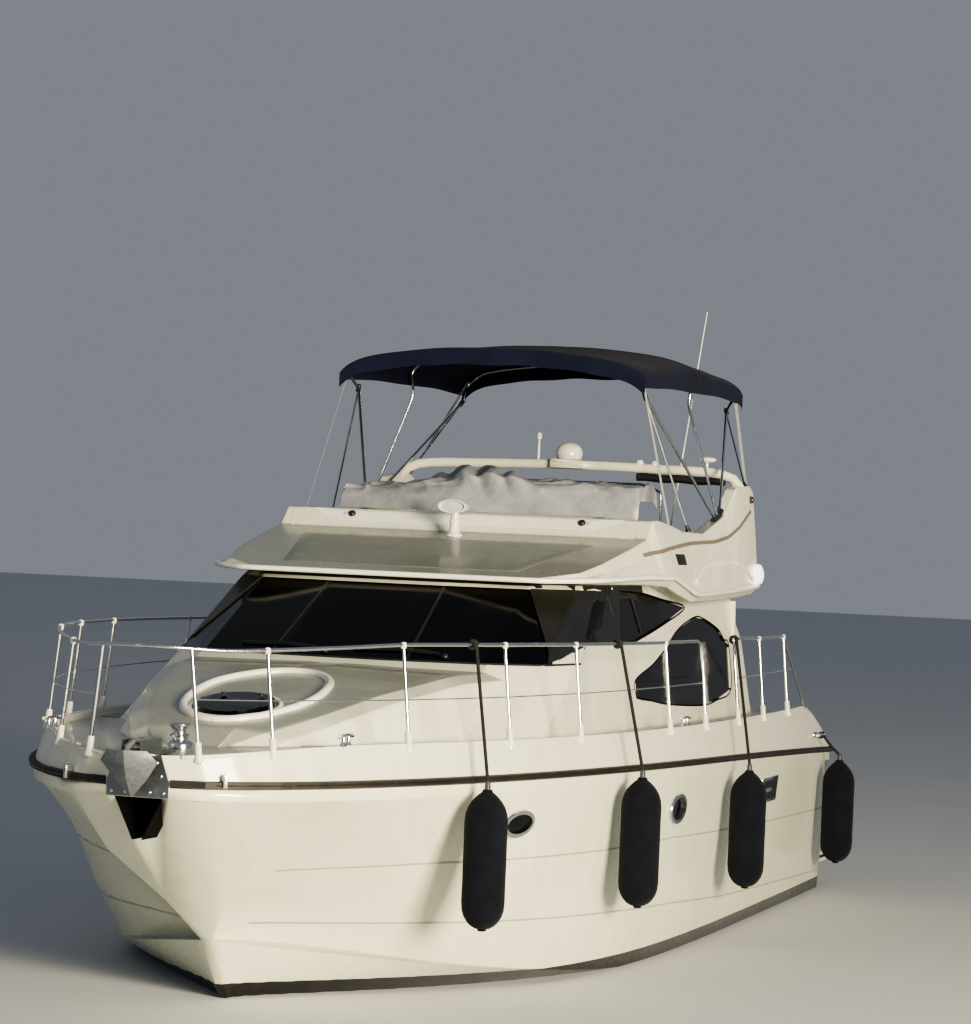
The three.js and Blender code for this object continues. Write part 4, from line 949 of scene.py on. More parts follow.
def gasket(name, outline, side, outer):
    """A rubber section round an opening, standing on the wall beside its edge."""
    middle = Vector((sum(p[0] for p in outline), sum(p[1] for p in outline))) / len(outline)
    knots = bent([(x, 0, z) for x, z in outline], 5)
    line = []
    for knot in knots:
        away = Vector((knot.x, knot.z)) - middle
        away = away.normalized() * outer
        x, z = knot.x + away.x, knot.z + away.y
        point, _ = beside(cabin_skin, x, z, side)
        line.append(Vector((x, point.y - side * 0.004, z)))
    seal = bar(name, line, GASKET_RADIUS, 8)
    return dress(seal, black_rubber_and_pocket_shade, "black_plastic")


for side, label in SIDES:
    gasket(f"aft_window_gasket_{label}", aft_outline, side, 0.001)
    gasket(f"fore_window_gasket_{label}", fore_outline[1:9], side, 0.001)

# Pillar mask: black paint over the pillar and the edges of the panes beside it, so screen and windows read as
# one.
PANE_INSET = 0.0105
pillar_front = [(1.79, 2.153), (1.18, 2.664)]
pillar_back = [(1.12, 2.262), (0.58, 2.664)]
for side, label in SIDES:

    def pillar_place(share, across, side=side, label=label):
        start = Vector(pillar_front[0]).lerp(Vector(pillar_front[1]), share)
        end = Vector(pillar_back[0]).lerp(Vector(pillar_back[1]), share)
        x, z = start.lerp(end, across)
        found = []
        side_pane = side_panes[f"fore_side_window_{label}"]
        for shift in (0.0, -0.006, -0.012):
            far = Vector((x + shift, side * 3, z + shift))
            for skin, inset in ((cabin_skin, 0.0), (screen_skin, PANE_INSET), (side_pane, PANE_INSET)):
                hit, facing, _, _ = skin.ray_cast(far, Vector((0, -side, 0)))
                if hit:
                    found.append((hit + facing * inset, facing))
            if found:
                break
        point, normal = max(found, key=lambda hit: side * hit[0].y)
        return point + normal * 0.004

    strip(f"pillar_mask_{label}", 40, 36, pillar_place, (0, side, 0), screen_black, "black_plastic", -0.012)

# Windscreen edges: the black band over the panes, the seal along the sill and the two bonded joints between
# the three panes of the screen.
SCREEN_ANGLE = math.radians(66)
sill_line = [front_point(mix(-SCREEN_ANGLE, SCREEN_ANGLE, step / 60), 2.149, 0.002) for step in range(61)]
dress(bar("screen_sill_gasket", sill_line, 0.009, 8), moulded_black, "black_plastic")


def screen_head_place(share, across):
    return front_point(mix(-SCREEN_ANGLE, SCREEN_ANGLE, share), mix(2.656, 2.735, across), 0.003)


strip("screen_head_band", 90, 3, screen_head_place, (1, 0, 0), screen_black, "black_plastic", 0.002)
for side, label in SIDES:

    def joint_place(share, across, side=side):
        z = mix(2.16, 2.655, share)
        y = side * (mix(0.5, 0.44, share) + 0.022 * (across - 0.5))
        point, normal = from_ahead(screen_skin, y, z)
        return point + normal * 0.0006

    strip(f"screen_joint_{label}", 12, 2, joint_place, (1, 0, 0), screen_black, "black_plastic", 0.0015)

    def head_place(share, across, side=side):
        x = mix(1.25, -0.5, share)
        return beside(cabin_skin, x, mix(2.66, 2.735, across), side)[0] + Vector((0, side * 0.003, 0))

    strip(f"side_head_band_{label}", 30, 2, head_place, (0, side, 0), screen_black, "black_plastic", 0.002)

# Wipers: two black pantograph arms parked along the sill, each with its motor cap, and a rubber blade that
# lies flat on the glass.
for row, (start_y, end_y) in enumerate(((0.75, 0.08), (-0.1, -0.78))):
    points = []
    for share, z in ((0.0, 2.175), (0.15, 2.2), (0.5, 2.215), (1.0, 2.205)):
        y = mix(start_y, end_y, share)
        point, normal = from_ahead(screen_skin, y, z)
        points.append(point + normal * 0.016)
    arm = bar(f"wiper_arm_{row + 1}", bent(points, 6), 0.006, 8)
    blade = bar(
        f"wiper_blade_{row + 1}", [p + Vector((0.0, 0, -0.012)) for p in bent(points[1:], 6)], 0.005, 6
    )
    cap = turned(
        f"wiper_cap_{row + 1}", [(0.022, -0.02), (0.022, 0.012), (0.014, 0.02)], points[0], (1, 0, 0.8), 16
    )
    dress(joined(f"wiper_{row + 1}", [arm, blade, cap]), moulded_black, "black_plastic")

# Opening lights: a thin anodised aluminium frame carries the sliding pane in each fore side window, its bars
# following the pane's rake.
anodised = steel_finish("aluminium_anodised", "#55544F", 0.5, 90.0)
slider_bars = [
    ((0.41, 2.62), (0.17, 2.325)), ((-0.22, 2.615), (-0.44, 2.345)), ((0.4, 2.618), (-0.22, 2.612))
]
for side, label in SIDES:
    skin = side_panes[f"fore_side_window_{label}"]
    bars = []
    for row, (start, end) in enumerate(slider_bars):
        line = []
        for step in range(9):
            x, z = Vector(start).lerp(Vector(end), step / 8)
            point, normal = beside(skin, x, z, side)
            line.append(point + normal * 0.003)
        bars.append(bar(f"slider_bar_{row}", line, 0.011, 6))
    dress(joined(f"sliding_light_frame_{label}", bars), anodised, "polished_steel")

# Saloon entrance: sliding door and fixed pane in aluminium frames with tinted glass; the door has a bar
# handle.
moulding("saloon_bulkhead_pane", "saloon_bulkhead_pane_glass", side_glass, "dark_glass")
moulding("saloon_door", "saloon_door_glass", side_glass, "dark_glass", "saloon_door_body")
pane_boxes = {"saloon_bulkhead_pane": "boat", "saloon_door": "saloon_door_body"}
for name, body in pane_boxes.items():
    low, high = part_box(name)
    x = low.x - 0.0005
    edge = 0.018
    rims = []
    for row, (a, b) in enumerate(
        (
            ((low.y + edge, low.z + 0.03), (high.y - edge, low.z + 0.03)),
            ((low.y + edge, high.z - edge), (high.y - edge, high.z - edge)),
            ((low.y + edge, low.z + 0.03), (low.y + edge, high.z - edge)),
            ((high.y - edge, low.z + 0.03), (high.y - edge, high.z - edge)),
        )
    ):
        centre = Vector((x + 0.006, (a[0] + b[0]) / 2, (a[1] + b[1]) / 2))
        size = (0.013, abs(a[0] - b[0]) + 0.036, abs(a[1] - b[1]) + 0.036)
        rims.append(block(f"rim_{row}", size, centre, edge=0.003))
    dress(joined(f"{name}_rim", rims), anodised, "polished_steel", body)
door_low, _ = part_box("saloon_door")
handle_line = [(0, 1.32), (-0.03, 1.34), (-0.034, 1.4), (-0.034, 1.5), (-0.03, 1.56), (0, 1.58)]
handle = bar("door_handle", bent([(door_low.x + dx, 0.02, z) for dx, z in handle_line], 4), 0.009, 10)
dress(handle, polished_steel, "polished_steel", "saloon_door_body")

# Foredeck hatch: a round smoked acrylic lid in a low frame, hinged forward, in a raised moulded coaming. Two
# turning catches hold it down.
HATCH_X = 4.22
moulding("foredeck_hatch", "foredeck_hatch_lid", smoked_acrylic, "dark_glass", "foredeck_hatch_body", 30)
# Brighter gelcoat for painted highlights: the hatch rims, the bridge's lip and ridges and the brow's face are
# painted lighter than the gelcoat round them, for the light they catch.
highlight_gelcoat, *_ = gelcoat_finish("gelcoat_painted_highlight", "#F0EFE4", "#DEDDCF", 0.22)


def round_angles(count):
    """Angles of points round a ring, the last on the first."""
    return [2 * math.pi * step / count for step in range(count + 1)]


rings = (
    ("foredeck_hatch_coaming", HATCH_X, 0.292, 0.292, 0.017), ("foredeck_moulded_rim", 3.83, 0.74, 0.42, 0.03)
)
for name, ring_x, half_long, half_wide, radius in rings:
    ring_line = []
    for angle in round_angles(96):
        point, _ = above(deck_skin, ring_x + half_long * math.cos(angle), half_wide * math.sin(angle))
        ring_line.append(point + Vector((0, 0, 0.002)))
    dress(bar(name, ring_line, radius, 12, ends=False), highlight_gelcoat, "gelcoat")
_, lid_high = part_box("foredeck_hatch")
catches = []
for side, _ in SIDES:
    place = (HATCH_X - 0.12, side * 0.13, lid_high.z - 0.012)
    catches.append(turned(f"catch_{side}", [(0.02, 0.0), (0.02, 0.006), (0.012, 0.01)], place, sides=16))
hatch_catches = joined("foredeck_hatch_catches", catches)
dress(hatch_catches, moulded_black, "black_plastic", "foredeck_hatch_body")

# Flying bridge: the upper moulding, one piece with its brow, its coamings and its floor. Its lower edge has a
# rounded lip, painted brighter as a highlight; a groove sweeps up each side, and fittings stand on it.
bridge_moulding = moulding("flybridge", "flybridge_moulding", house_gelcoat, "gelcoat", degrees=30, cuts=3)
bridge_skin = skin_of(bridge_moulding)
lip_rows = [
    (1.338, 0.0, 2.728), (1.338, 0.5, 2.728), (1.334, 1.04, 2.728), (1.25, 1.24, 2.73), (1.05, 1.443, 2.74),
    (0.7, 1.523, 2.75), (0.0, 1.592, 2.768), (-0.48, 1.627, 2.765), (-0.64, 1.635, 2.76),
    (-1.0, 1.644, 2.688), (-1.3, 1.652, 2.638), (-1.9, 1.657, 2.648), (-2.5, 1.652, 2.66),
    (-3.3, 1.627, 2.685), (-3.5, 1.61, 2.7),
]
half_lip = bent(lip_rows, 5)
lip_line = [Vector((p.x, -p.y, p.z)) for p in reversed(half_lip[1:])] + half_lip
dress(bar("flybridge_lip", lip_line, 0.02, 12), highlight_gelcoat, "gelcoat")
groove_route = [
    (-0.1, 2.93), (-0.7, 2.985), (-1.45, 3.032), (-2.1, 3.05), (-2.5, 3.09), (-2.85, 3.18), (-3.3, 3.32)
]
frosted_glass, *_ = patterned_finish(
    "glass_frosted_lamp", "#F4F6F4", 0.35, {"Scale": 90.0, "Detail": 4.0}, relief=(0.3, 0.0005),
    gloss={"Emission Color": linear("#F2FAF6"), "Emission Strength": 0.8},
)
nylon_grey, *_ = patterned_finish("nylon_grey", "#B8B7AE", 0.45, {"Scale": 40.0, "Detail": 4.0})
shadow_gelcoat, *_ = gelcoat_finish("gelcoat_in_shadow", "#7A705F", "#5C5447", 0.5)
ridge_route = [
    (-1.3, 2.73), (-1.5, 2.8), (-1.7, 2.85), (-2.1, 2.885), (-2.55, 2.89), (-2.95, 2.84), (-3.25, 2.76)
]
for side, label in SIDES:
    groove = bead(f"bridge_groove_{label}", bridge_skin, groove_route, 0.03, 0.0015, side, 90)
    dress(groove, shadow_gelcoat, "gelcoat")
    ridge = bead(f"bridge_ridge_{label}", bridge_skin, ridge_route, 0.05, 0.012, side, 60)
    smooth(ridge, 60)
    dress(ridge, highlight_gelcoat, "gelcoat")
    # A flat black plate stands for each side's square recess: painted shade for the dark inside it.
    recess_point, recess_normal = beside(bridge_skin, -1.0, 2.905, side)
    recess_shade = block(
        f"bridge_recess_shade_{label}", (0.3, 0.088, 0.01), recess_point, on_side(recess_normal), edge=0.003
    )
    dress(recess_shade, moulded_black, "black_plastic")
    lamp_point, lamp_normal = beside(bridge_skin, -3.36, 2.79, side)
    lamp_rows = [(0.085, -0.01), (0.085, 0.03), (0.076, 0.052), (0.045, 0.066), (0.012, 0.07)]
    deck_lamp = turned(f"deck_light_{label}", lamp_rows, lamp_point, lamp_normal, 24)
    dress(deck_lamp, frosted_glass, "dark_glass")


# The brow's front face is a painted highlight: a strip of brighter gelcoat laid over it.
def brow_highlight_place(share, across):
    y = mix(-1.25, 1.25, share)
    foot = 3.1 + 0.085 * limited((abs(y) - 0.95) / 0.3) ** 2
    point, normal = from_ahead(bridge_skin, y, mix(foot, 3.192, across))
    return point + normal * 0.0006


strip("brow_face_band", 120, 8, brow_highlight_place, (1, 0, 0), highlight_gelcoat, "gelcoat", 0.001)
for side, label in SIDES:
    socket_point, socket_normal = from_ahead(bridge_skin, side * 0.93, 3.15)
    socket_rows = [(0.03, -0.008), (0.03, 0.012), (0.02, 0.024), (0.008, 0.026)]
    brow_socket = turned(f"brow_socket_{label}", socket_rows, socket_point, socket_normal, 18)
    dress(brow_socket, moulded_black, "black_plastic")
    button_rows = [(0.014, -0.004), (0.014, 0.008), (0.008, 0.012)]
    button_point = socket_point + Vector((0, side * 0.055, 0))
    button = turned(f"brow_button_{label}", button_rows, button_point, socket_normal, 14)
    dress(button, nylon_grey, "black_plastic")
bridge_panels = [
    ("bridge_tread_1", ((-1.2, 1.34), (-3.3, 1.34), (-3.3, -1.34), (-1.2, -1.34)), 2.94, 20),
    ("bridge_tread_2", ((-3.36, 0.6), (-4.3, 0.55), (-4.3, -0.9), (-3.36, -1.2)), 2.94, 20),
    ("brow_tread", ((1.1, 0.9), (0.0, 1.15), (0.0, -1.15), (1.1, -0.9)), 3.3, 24),
]
for name, corners, top, columns in bridge_panels:
    dress(tread_panel(name, bridge_skin, corners, top=top, columns=columns, rows=20), tread, "gelcoat")

# Guard rails: polished stainless tube, 25 mm across, on stanchions that stand in white nylon boots, with a
# wire halfway up and a white ball fitting where each stanchion meets the tube.
RAIL_RADIUS = 0.0125
WIRE_Z = 1.99
nylon, *_ = patterned_finish(
    "nylon_white", "#DAD9D2", 0.42, {"Scale": 16.0, "Detail": 4.0}, ("#DEDDD7", "#C9C6B8"),
    relief=(0.08, 0.0003),
)


def rail_top_z(x):
    """Height of the guard rail."""
    return mix(2.27, 2.335, limited((x + 4.2) / 8)) - 0.05 * limited((x - 4.4) / 1.15)


def rail_point(x, z=None, side=1):
    """A point in the plane of the rail's stanchions, which lean in a little."""
    top = rail_top_z(x)
    z = top if z is None else z
    low = gunwale_z(x) - 0.05
    lean = mix(0.008, -0.06, (z - low) / (top - low))
    return Vector((x, side * (gunwale_y(x) + lean), z))


boot_rows = [(0.03, 0.004), (0.03, 0.02), (0.022, 0.045), (0.0205, 0.118), (0.018, 0.13)]
ball_rows = [(0.015, -0.024), (0.019, -0.018), (0.0205, 0.0), (0.017, 0.013), (0.008, 0.018)]


def stanchion_set(name, xs, side):
    """Stanchions, with their boots and ball fittings, at a list of distances forward."""
    tubes, boots, balls = [], [], []
    for row, x in enumerate(xs):
        foot_z = gunwale_z(x) - 0.05
        foot, top = rail_point(x, foot_z, side), rail_point(x, None, side)
        rise = (top - foot).normalized()
        tubes.append(bar(f"tube_{row}", [foot, top], RAIL_RADIUS, 12))
        boots.append(turned(f"boot_{row}", boot_rows, foot, rise, 16))
        balls.append(turned(f"ball_{row}", ball_rows, top, rise, 14))
    dress(joined(f"{name}_boots", boots), nylon, "gelcoat")
    dress(joined(f"{name}_balls", balls), nylon, "gelcoat")
    return tubes


bow_xs = [5.35, 4.37, 3.3, 2.3, 0.5]
rail_xs = [5.56, 5.35, 4.87, 4.37, 3.8, 3.3, 2.3, 1.4, 0.5, -0.25]
pieces = []
for side, label in SIDES:
    pieces += stanchion_set(f"bow_rail_{label}", bow_xs, side)
    wire_line = [rail_point(x, WIRE_Z, side) for x in [5.68, *rail_xs, -0.5]]
    pieces.append(bar("wire", wire_line, 0.0045, 8))
    pulpit_foot = rail_point(5.68, gunwale_z(5.68) - 0.05, side)
    pulpit_height = rail_top_z(5.53)
    pulpit_top = Vector((5.7, side * 0.29, pulpit_height + 0.008))
    pieces.append(bar("pulpit_post", [pulpit_foot, pulpit_top], RAIL_RADIUS, 12))
    rows = [(0.03, 0.01), (0.03, 0.026), (0.022, 0.05), (0.0205, 0.12), (0.018, 0.13)]
    boot = turned(f"pulpit_boot_{label}", rows, pulpit_foot, (pulpit_top - pulpit_foot).normalized(), 16)
    dress(boot, nylon, "gelcoat")
half_rail = [Vector((5.83, 0, pulpit_height + 0.016)), Vector((5.79, 0.15, pulpit_height + 0.014))]
half_rail.append(Vector((5.7, 0.29, pulpit_height + 0.008)))
half_rail += [rail_point(x) for x in rail_xs]
half_rail += [rail_point(-0.43, rail_top_z(-0.5) - 0.008), rail_point(-0.5, rail_top_z(-0.5) - 0.09)]
half_rail.append(rail_point(-0.5, gunwale_z(-0.5) - 0.02))
half_rail = bent(half_rail, 5)
whole_rail = [Vector((p.x, -p.y, p.z)) for p in reversed(half_rail[1:])] + half_rail
pieces.append(bar("top_tube", whole_rail, RAIL_RADIUS, 14))
bow_rail = joined("bow_rail_tubes", pieces)
dress(bow_rail, polished_steel, "polished_steel", node="bow_rail")

after_xs = [-1.6, -2.6, -3.75]
AFTER_STAY_X = -4.75
for side, label in SIDES:
    pieces = stanchion_set(f"after_rail_{label}", after_xs[1:], side)
    line = [rail_point(-1.6, gunwale_z(-1.6) - 0.02, side), rail_point(-1.6, rail_top_z(-1.6) - 0.09, side)]
    line += [rail_point(x, None, side) for x in (-1.68, -2.6, -3.2, -3.75)]
    pieces.append(bar("top_tube", bent(line, 5), RAIL_RADIUS, 14))
    stay_top = rail_point(-3.75, None, side)
    stay_foot = rail_point(AFTER_STAY_X, gunwale_z(AFTER_STAY_X) - 0.02, side)
    pieces.append(bar("stay", [stay_top, stay_foot], 0.0098, 12))
    wire_end = stay_top.lerp(stay_foot, (stay_top.z - WIRE_Z) / (stay_top.z - stay_foot.z))
    pieces.append(bar("wire", [*[rail_point(x, WIRE_Z, side) for x in after_xs], wire_end], 0.0045, 8))
    after_rail = joined(f"after_rail_{label}_tubes", pieces)
    dress(after_rail, polished_steel, "polished_steel", node=f"after_rail_{label}")
    ends = []
    for x in (-1.6, -0.5):
        foot = rail_point(x, gunwale_z(x) - 0.05, side)
        ends.append(
            turned(f"end_boot_{x}", boot_rows, foot, (rail_point(x, None, side) - foot).normalized(), 16)
        )
    dress(joined(f"gate_boots_{label}", ends), nylon, "gelcoat")

# Cleats and deck fittings: polished horn cleats bolted along the gunwale, filler caps in the side decks, and
# a chromed fairlead at each transom corner.


def horn_cleat(name, x, foot, head, side):
    """A cleat: a tapered horn on two legs, with its base plate."""
    foot = Vector((x, side * foot[0], foot[1]))
    head = Vector((x, side * head[0], head[1]))
    rise = (head - foot).normalized()
    ahead = Vector((1, 0, 0))
    horn_rows = ((-0.128, 0.006), (-0.06, 0), (0.06, 0), (0.128, 0.006))
    line = [head + ahead * dx - rise * drop for dx, drop in horn_rows]
    parts = [bar("horn", bent(line, 4), 0.0118, 12)]
    for dx in (-0.045, 0.045):
        rows = [(0.024, -0.002), (0.022, 0.006), (0.0138, 0.02), (0.0138, (head - foot).length)]
        parts.append(turned(f"leg_{dx}", rows, foot + ahead * dx, rise, 14))
    return dress(joined(name, parts), polished_steel, "polished_steel")


for side, label in SIDES:
    for row, x in enumerate((4.85, 0.0)):
        y = gunwale_y(x) - 0.025
        horn_cleat(f"cleat_{row + 1}_{label}", x, (y, gunwale_z(x)), (y, gunwale_z(x) + 0.062), side)
    stern_foot = (gunwale_y(-4.84) + 0.35 * 0.23, gunwale_z(-4.84) - 0.23)
    stern_head = (stern_foot[0] + 0.062, stern_foot[1])
    horn_cleat(f"cleat_3_{label}", -4.84, stern_foot, stern_head, side)
    caps = []
    for row, x in enumerate((1.0, -1.9)):
        point, normal = above(deck_skin, x, side * (gunwale_y(x) - 0.19))
        rows = [(0.045, -0.002), (0.045, 0.003), (0.038, 0.0055), (0.03, 0.004), (0.01, 0.004)]
        caps.append(turned(f"cap_{row}", rows, point, normal, 24))
    dress(joined(f"filler_caps_{label}", caps), polished_steel, "polished_steel")
    corner_x = -5.42
    base_y = gunwale_y(corner_x) - 0.03
    base_z = gunwale_z(corner_x) - 0.002
    arcs = []
    for spread, high in ((0.09, 0.05), (0.055, 0.03)):
        line = [
            Vector((corner_x + spread * math.cos(a), side * base_y, base_z + high * math.sin(a)))
            for a in [math.pi * step / 16 for step in range(17)]
        ]
        arcs.append(bar("arc", line, 0.008, 10))
    dress(joined(f"fairlead_{label}", arcs), polished_steel, "polished_steel")
    plate_point = outside_sheer(5.62, 0.02, 0.02, side)
    plate_turn = (0, 0, side * math.radians(35))
    guard = block(f"stem_plate_{label}", (0.05, 0.03, 0.085), plate_point, plate_turn, edge=0.006)
    dress(guard, polished_steel, "polished_steel")

# Fenders: air-filled vinyl cylinders in knitted acrylic covers, near-black navy, gathered on a drawstring at
# both ends. The knit's ribs run lengthwise, a stitch every 5 mm.
knit, tree, shader = new_finish("acrylic_knit_navy", "#11151F", 0.92)
wrap = add_node(tree, "ShaderNodeUVMap").outputs["UV"]
place = add_node(tree, "ShaderNodeTexCoord").outputs["Object"]
ribs, stitches = [
    add_node(
        tree,
        "ShaderNodeTexWave",
        {"Scale": scale, "bands_direction": direction, "Distortion": bend},
        {"Vector": wrap},
    )
    for scale, direction, bend in ((62.0, "X", 0.3), (80.0, "Y", 1.5))
]
relief_height = add_node(
    tree, "ShaderNodeMath", {"operation": "ADD"}, {0: ribs.outputs["Fac"], 1: stitches.outputs["Fac"]}
)
fuzz = add_node(
    tree, "ShaderNodeTexNoise", {"Scale": 9.0, "Detail": 7.0, "Roughness": 0.7}, {"Vector": place}
)
work_in(
    tree, shader, fuzz.outputs["Fac"], ("#05080F", "#0D1220"), (0.35, 0.75),
    relief_height.outputs[0], (0.5, 0.0015),
)
for socket, value in (("Sheen Weight", 0.04), ("Sheen Roughness", 0.4), ("Specular IOR Level", 0.2)):
    shader.inputs[socket].default_value = value


def wrapped(item, centre):
    """Gives an upright round piece a map in metres: round its girth and up its height."""
    layer = item.data.uv_layers.new(name="wrap") if not item.data.uv_layers else item.data.uv_layers[0]
    for face in item.data.polygons:
        angles = []
        for loop in face.loop_indices:
            spot = item.data.vertices[item.data.loops[loop].vertex_index].co - centre
            angles.append(math.atan2(spot.y, spot.x))
        if max(angles) - min(angles) > math.pi:
            angles = [angle + 2 * math.pi if angle < 0 else angle for angle in angles]
        for loop, angle in zip(face.loop_indices, angles):
            spot = item.data.vertices[item.data.loops[loop].vertex_index].co
            layer.data[loop].uv = (angle * 0.14, spot.z)
    return item


fender_rows = [(3.96, 1.425, 3.67), (1.82, 1.41, 1.54), (-0.88, 1.32, -1.62), (-4.95, 1.18, None)]
FENDER_OUT = 0.176
eye_vinyl, *_ = patterned_finish(
    "vinyl_fender_navy", "#2A2D36", 0.5, {"Scale": 30.0, "Detail": 5.0}, ("#1E212A", "#3A3D47"),
    relief=(0.1, 0.0004),
)
fender_profile = [
    (0.012, -0.898), (0.024, -0.896), (0.026, -0.884), (0.05, -0.878), (0.078, -0.862), (0.1, -0.84),
    (0.122, -0.805), (0.135, -0.765), (0.1395, -0.71), (0.1385, -0.6), (0.1395, -0.45), (0.1385, -0.32),
    (0.1395, -0.2), (0.134, -0.15), (0.12, -0.108), (0.1, -0.074), (0.078, -0.048), (0.055, -0.026),
    (0.036, -0.012), (0.03, 0.004), (0.02, 0.006),
]
for row, (x, top, _) in enumerate(fender_rows):
    centre = Vector((x, sheer_y(x) + FENDER_OUT, top))
    fender = wrapped(turned(f"fender_{row + 1}_cover", fender_profile, centre, sides=40), centre)
    dress(fender, knit, "fender_cover", node=f"fender_{row + 1}")
    eye_rows = [(0.0195, -0.01), (0.0195, 0.03), (0.017, 0.05), (0.01, 0.059)]
    dress(turned(f"fender_{row + 1}_eye", eye_rows, centre, sides=20), eye_vinyl, "fender_cover")
    cord_rings = []
    for ring, (radius, drop) in enumerate(((0.031, -0.006), (0.026, -0.889))):
        line = [centre + Vector((radius * math.cos(a), radius * math.sin(a), drop)) for a in round_angles(24)]
        cord_rings.append(bar(f"drawstring_{ring}", line, 0.004, 8, ends=False))
    dress(joined(f"fender_{row + 1}_drawstrings", cord_rings), knit, "fender_cover")

# Lanyards: 24 mm braided polyester rope, black, from each fender's eye out over the strake to a hitch on the
# rail. Each is pulled straight by its fender's weight; the aftermost is made fast to the stern cleat.
braid, tree, shader = new_finish("polyester_braid_black", "#0A0B0C", 0.85)
places = add_node(tree, "ShaderNodeTexCoord").outputs
plaits = add_node(
    tree, "ShaderNodeMapping", {"Scale": (60.0, 4.0, 1.0), "Rotation": (0, 0, 0.6)}, {"Vector": places["UV"]}
)
strands = add_node(
    tree, "ShaderNodeTexWave", {"Scale": 1.0, "Distortion": 1.0}, {"Vector": plaits.outputs[0]}
)
lint = add_node(
    tree, "ShaderNodeTexNoise", {"Scale": 60.0, "Detail": 4.0}, {"Vector": places["Object"]}
).outputs["Fac"]
work_in(tree, shader, lint, ("#070809", "#17191B"), height=strands.outputs["Fac"], relief=(0.6, 0.0015))
ROPE = 0.024


def rounded(knots, bend, spacing=0.05):
    """Points along straight runs whose corners are rounded off by a bend."""
    knots = [Vector(knot) for knot in knots]
    line = [knots[0]]
    for before, corner, after in zip(knots, knots[1:], knots[2:]):
        start = corner + (before - corner).normalized() * bend
        end = corner + (after - corner).normalized() * bend
        for step in range(7):
            t = step / 6
            line.append((1 - t) ** 2 * start + 2 * t * (1 - t) * corner + t**2 * end)
    line.append(knots[-1])
    fine = [line[0]]
    for point in line[1:]:
        count = max(1, round((point - fine[-1]).length / spacing))
        begin = fine[-1]
        fine += [begin.lerp(point, step / count) for step in range(1, count + 1)]
    return fine


def cord_curve(name, points, diameter, finish, slot):
    """A round cord on one smooth line, which stays a curve."""
    item = round_curve(name, points, diameter / 2, 3)
    item.data.splines[0].use_smooth = True
    return dress(item, finish, slot)


for row, (x, top, hitch_x) in enumerate(fender_rows):
    y = sheer_y(x) + FENDER_OUT
    start = Vector((x, y, top + 0.045))
    if hitch_x is None:
        cleat_y, cleat_z = stern_head
        finish_point, ring = Vector((-4.94, cleat_y, cleat_z - 0.006)), 0.0195
        middle = Vector((x, sheer_y(x) + 0.062, sheer_z(x) + 0.06))
    else:
        finish_point, ring = rail_point(hitch_x) + Vector((0, RAIL_RADIUS + 0.006, 0)), RAIL_RADIUS + ROPE / 2
        middle = start.lerp(finish_point, 0.5)
    line = rounded([start, middle, finish_point], 0.07)
    rope = cord_curve(f"lanyard_{row + 1}_rope", line, ROPE, braid, "rope")
    turns = []
    for step in range(57):
        angle = 2 * math.pi * 2.3 * step / 56
        along = mix(-0.022, 0.022, step / 56)
        hub = finish_point - Vector((0, ring, 0))
        turns.append(hub + Vector((along, ring * math.cos(angle), ring * math.sin(angle))))
    hitch = bar(f"lanyard_{row + 1}_hitch", turns, ROPE / 2, 10)
    dress(hitch, braid, "rope")
    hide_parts(f"lanyard_{row + 1}")
    round(run_length(line), 3)

# Bimini frame: three bows of polished stainless tube that pivot on the coamings, with a brace fore and aft on
# each side and black nylon knuckles where tubes meet.
PIVOT_Y = 1.495
LEG_Y = 1.188
LEG_Z = 4.16
LEG_SHARE = 0.87
BIMINI_HALF = 1.26
BOW_DROP = 0.023
bow_rows = [(-1.0, -2.35, 0.0), (-2.55, -2.43, 0.11), (-4.05, -2.51, 0.055)]
coaming_heights = [(-1.3, 3.12), (-1.9, 3.11), (-2.5, 3.26), (-2.85, 3.5), (-3.3, 3.525), (-3.45, 3.48)]


def table(rows, x):
    """The value at a distance forward, between the rows of a falling table."""
    for (xa, a), (xb, b) in zip(rows, rows[1:]):
        if x >= xb:
            return mix(a, b, (x - xa) / (xb - xa))
    return rows[-1][1]


def crown_z(share, lift):
    """Height of the canopy's curve at a share of its half width."""
    return 4.5 - 0.13 * share**2.2 - 0.08 * share**14 + lift


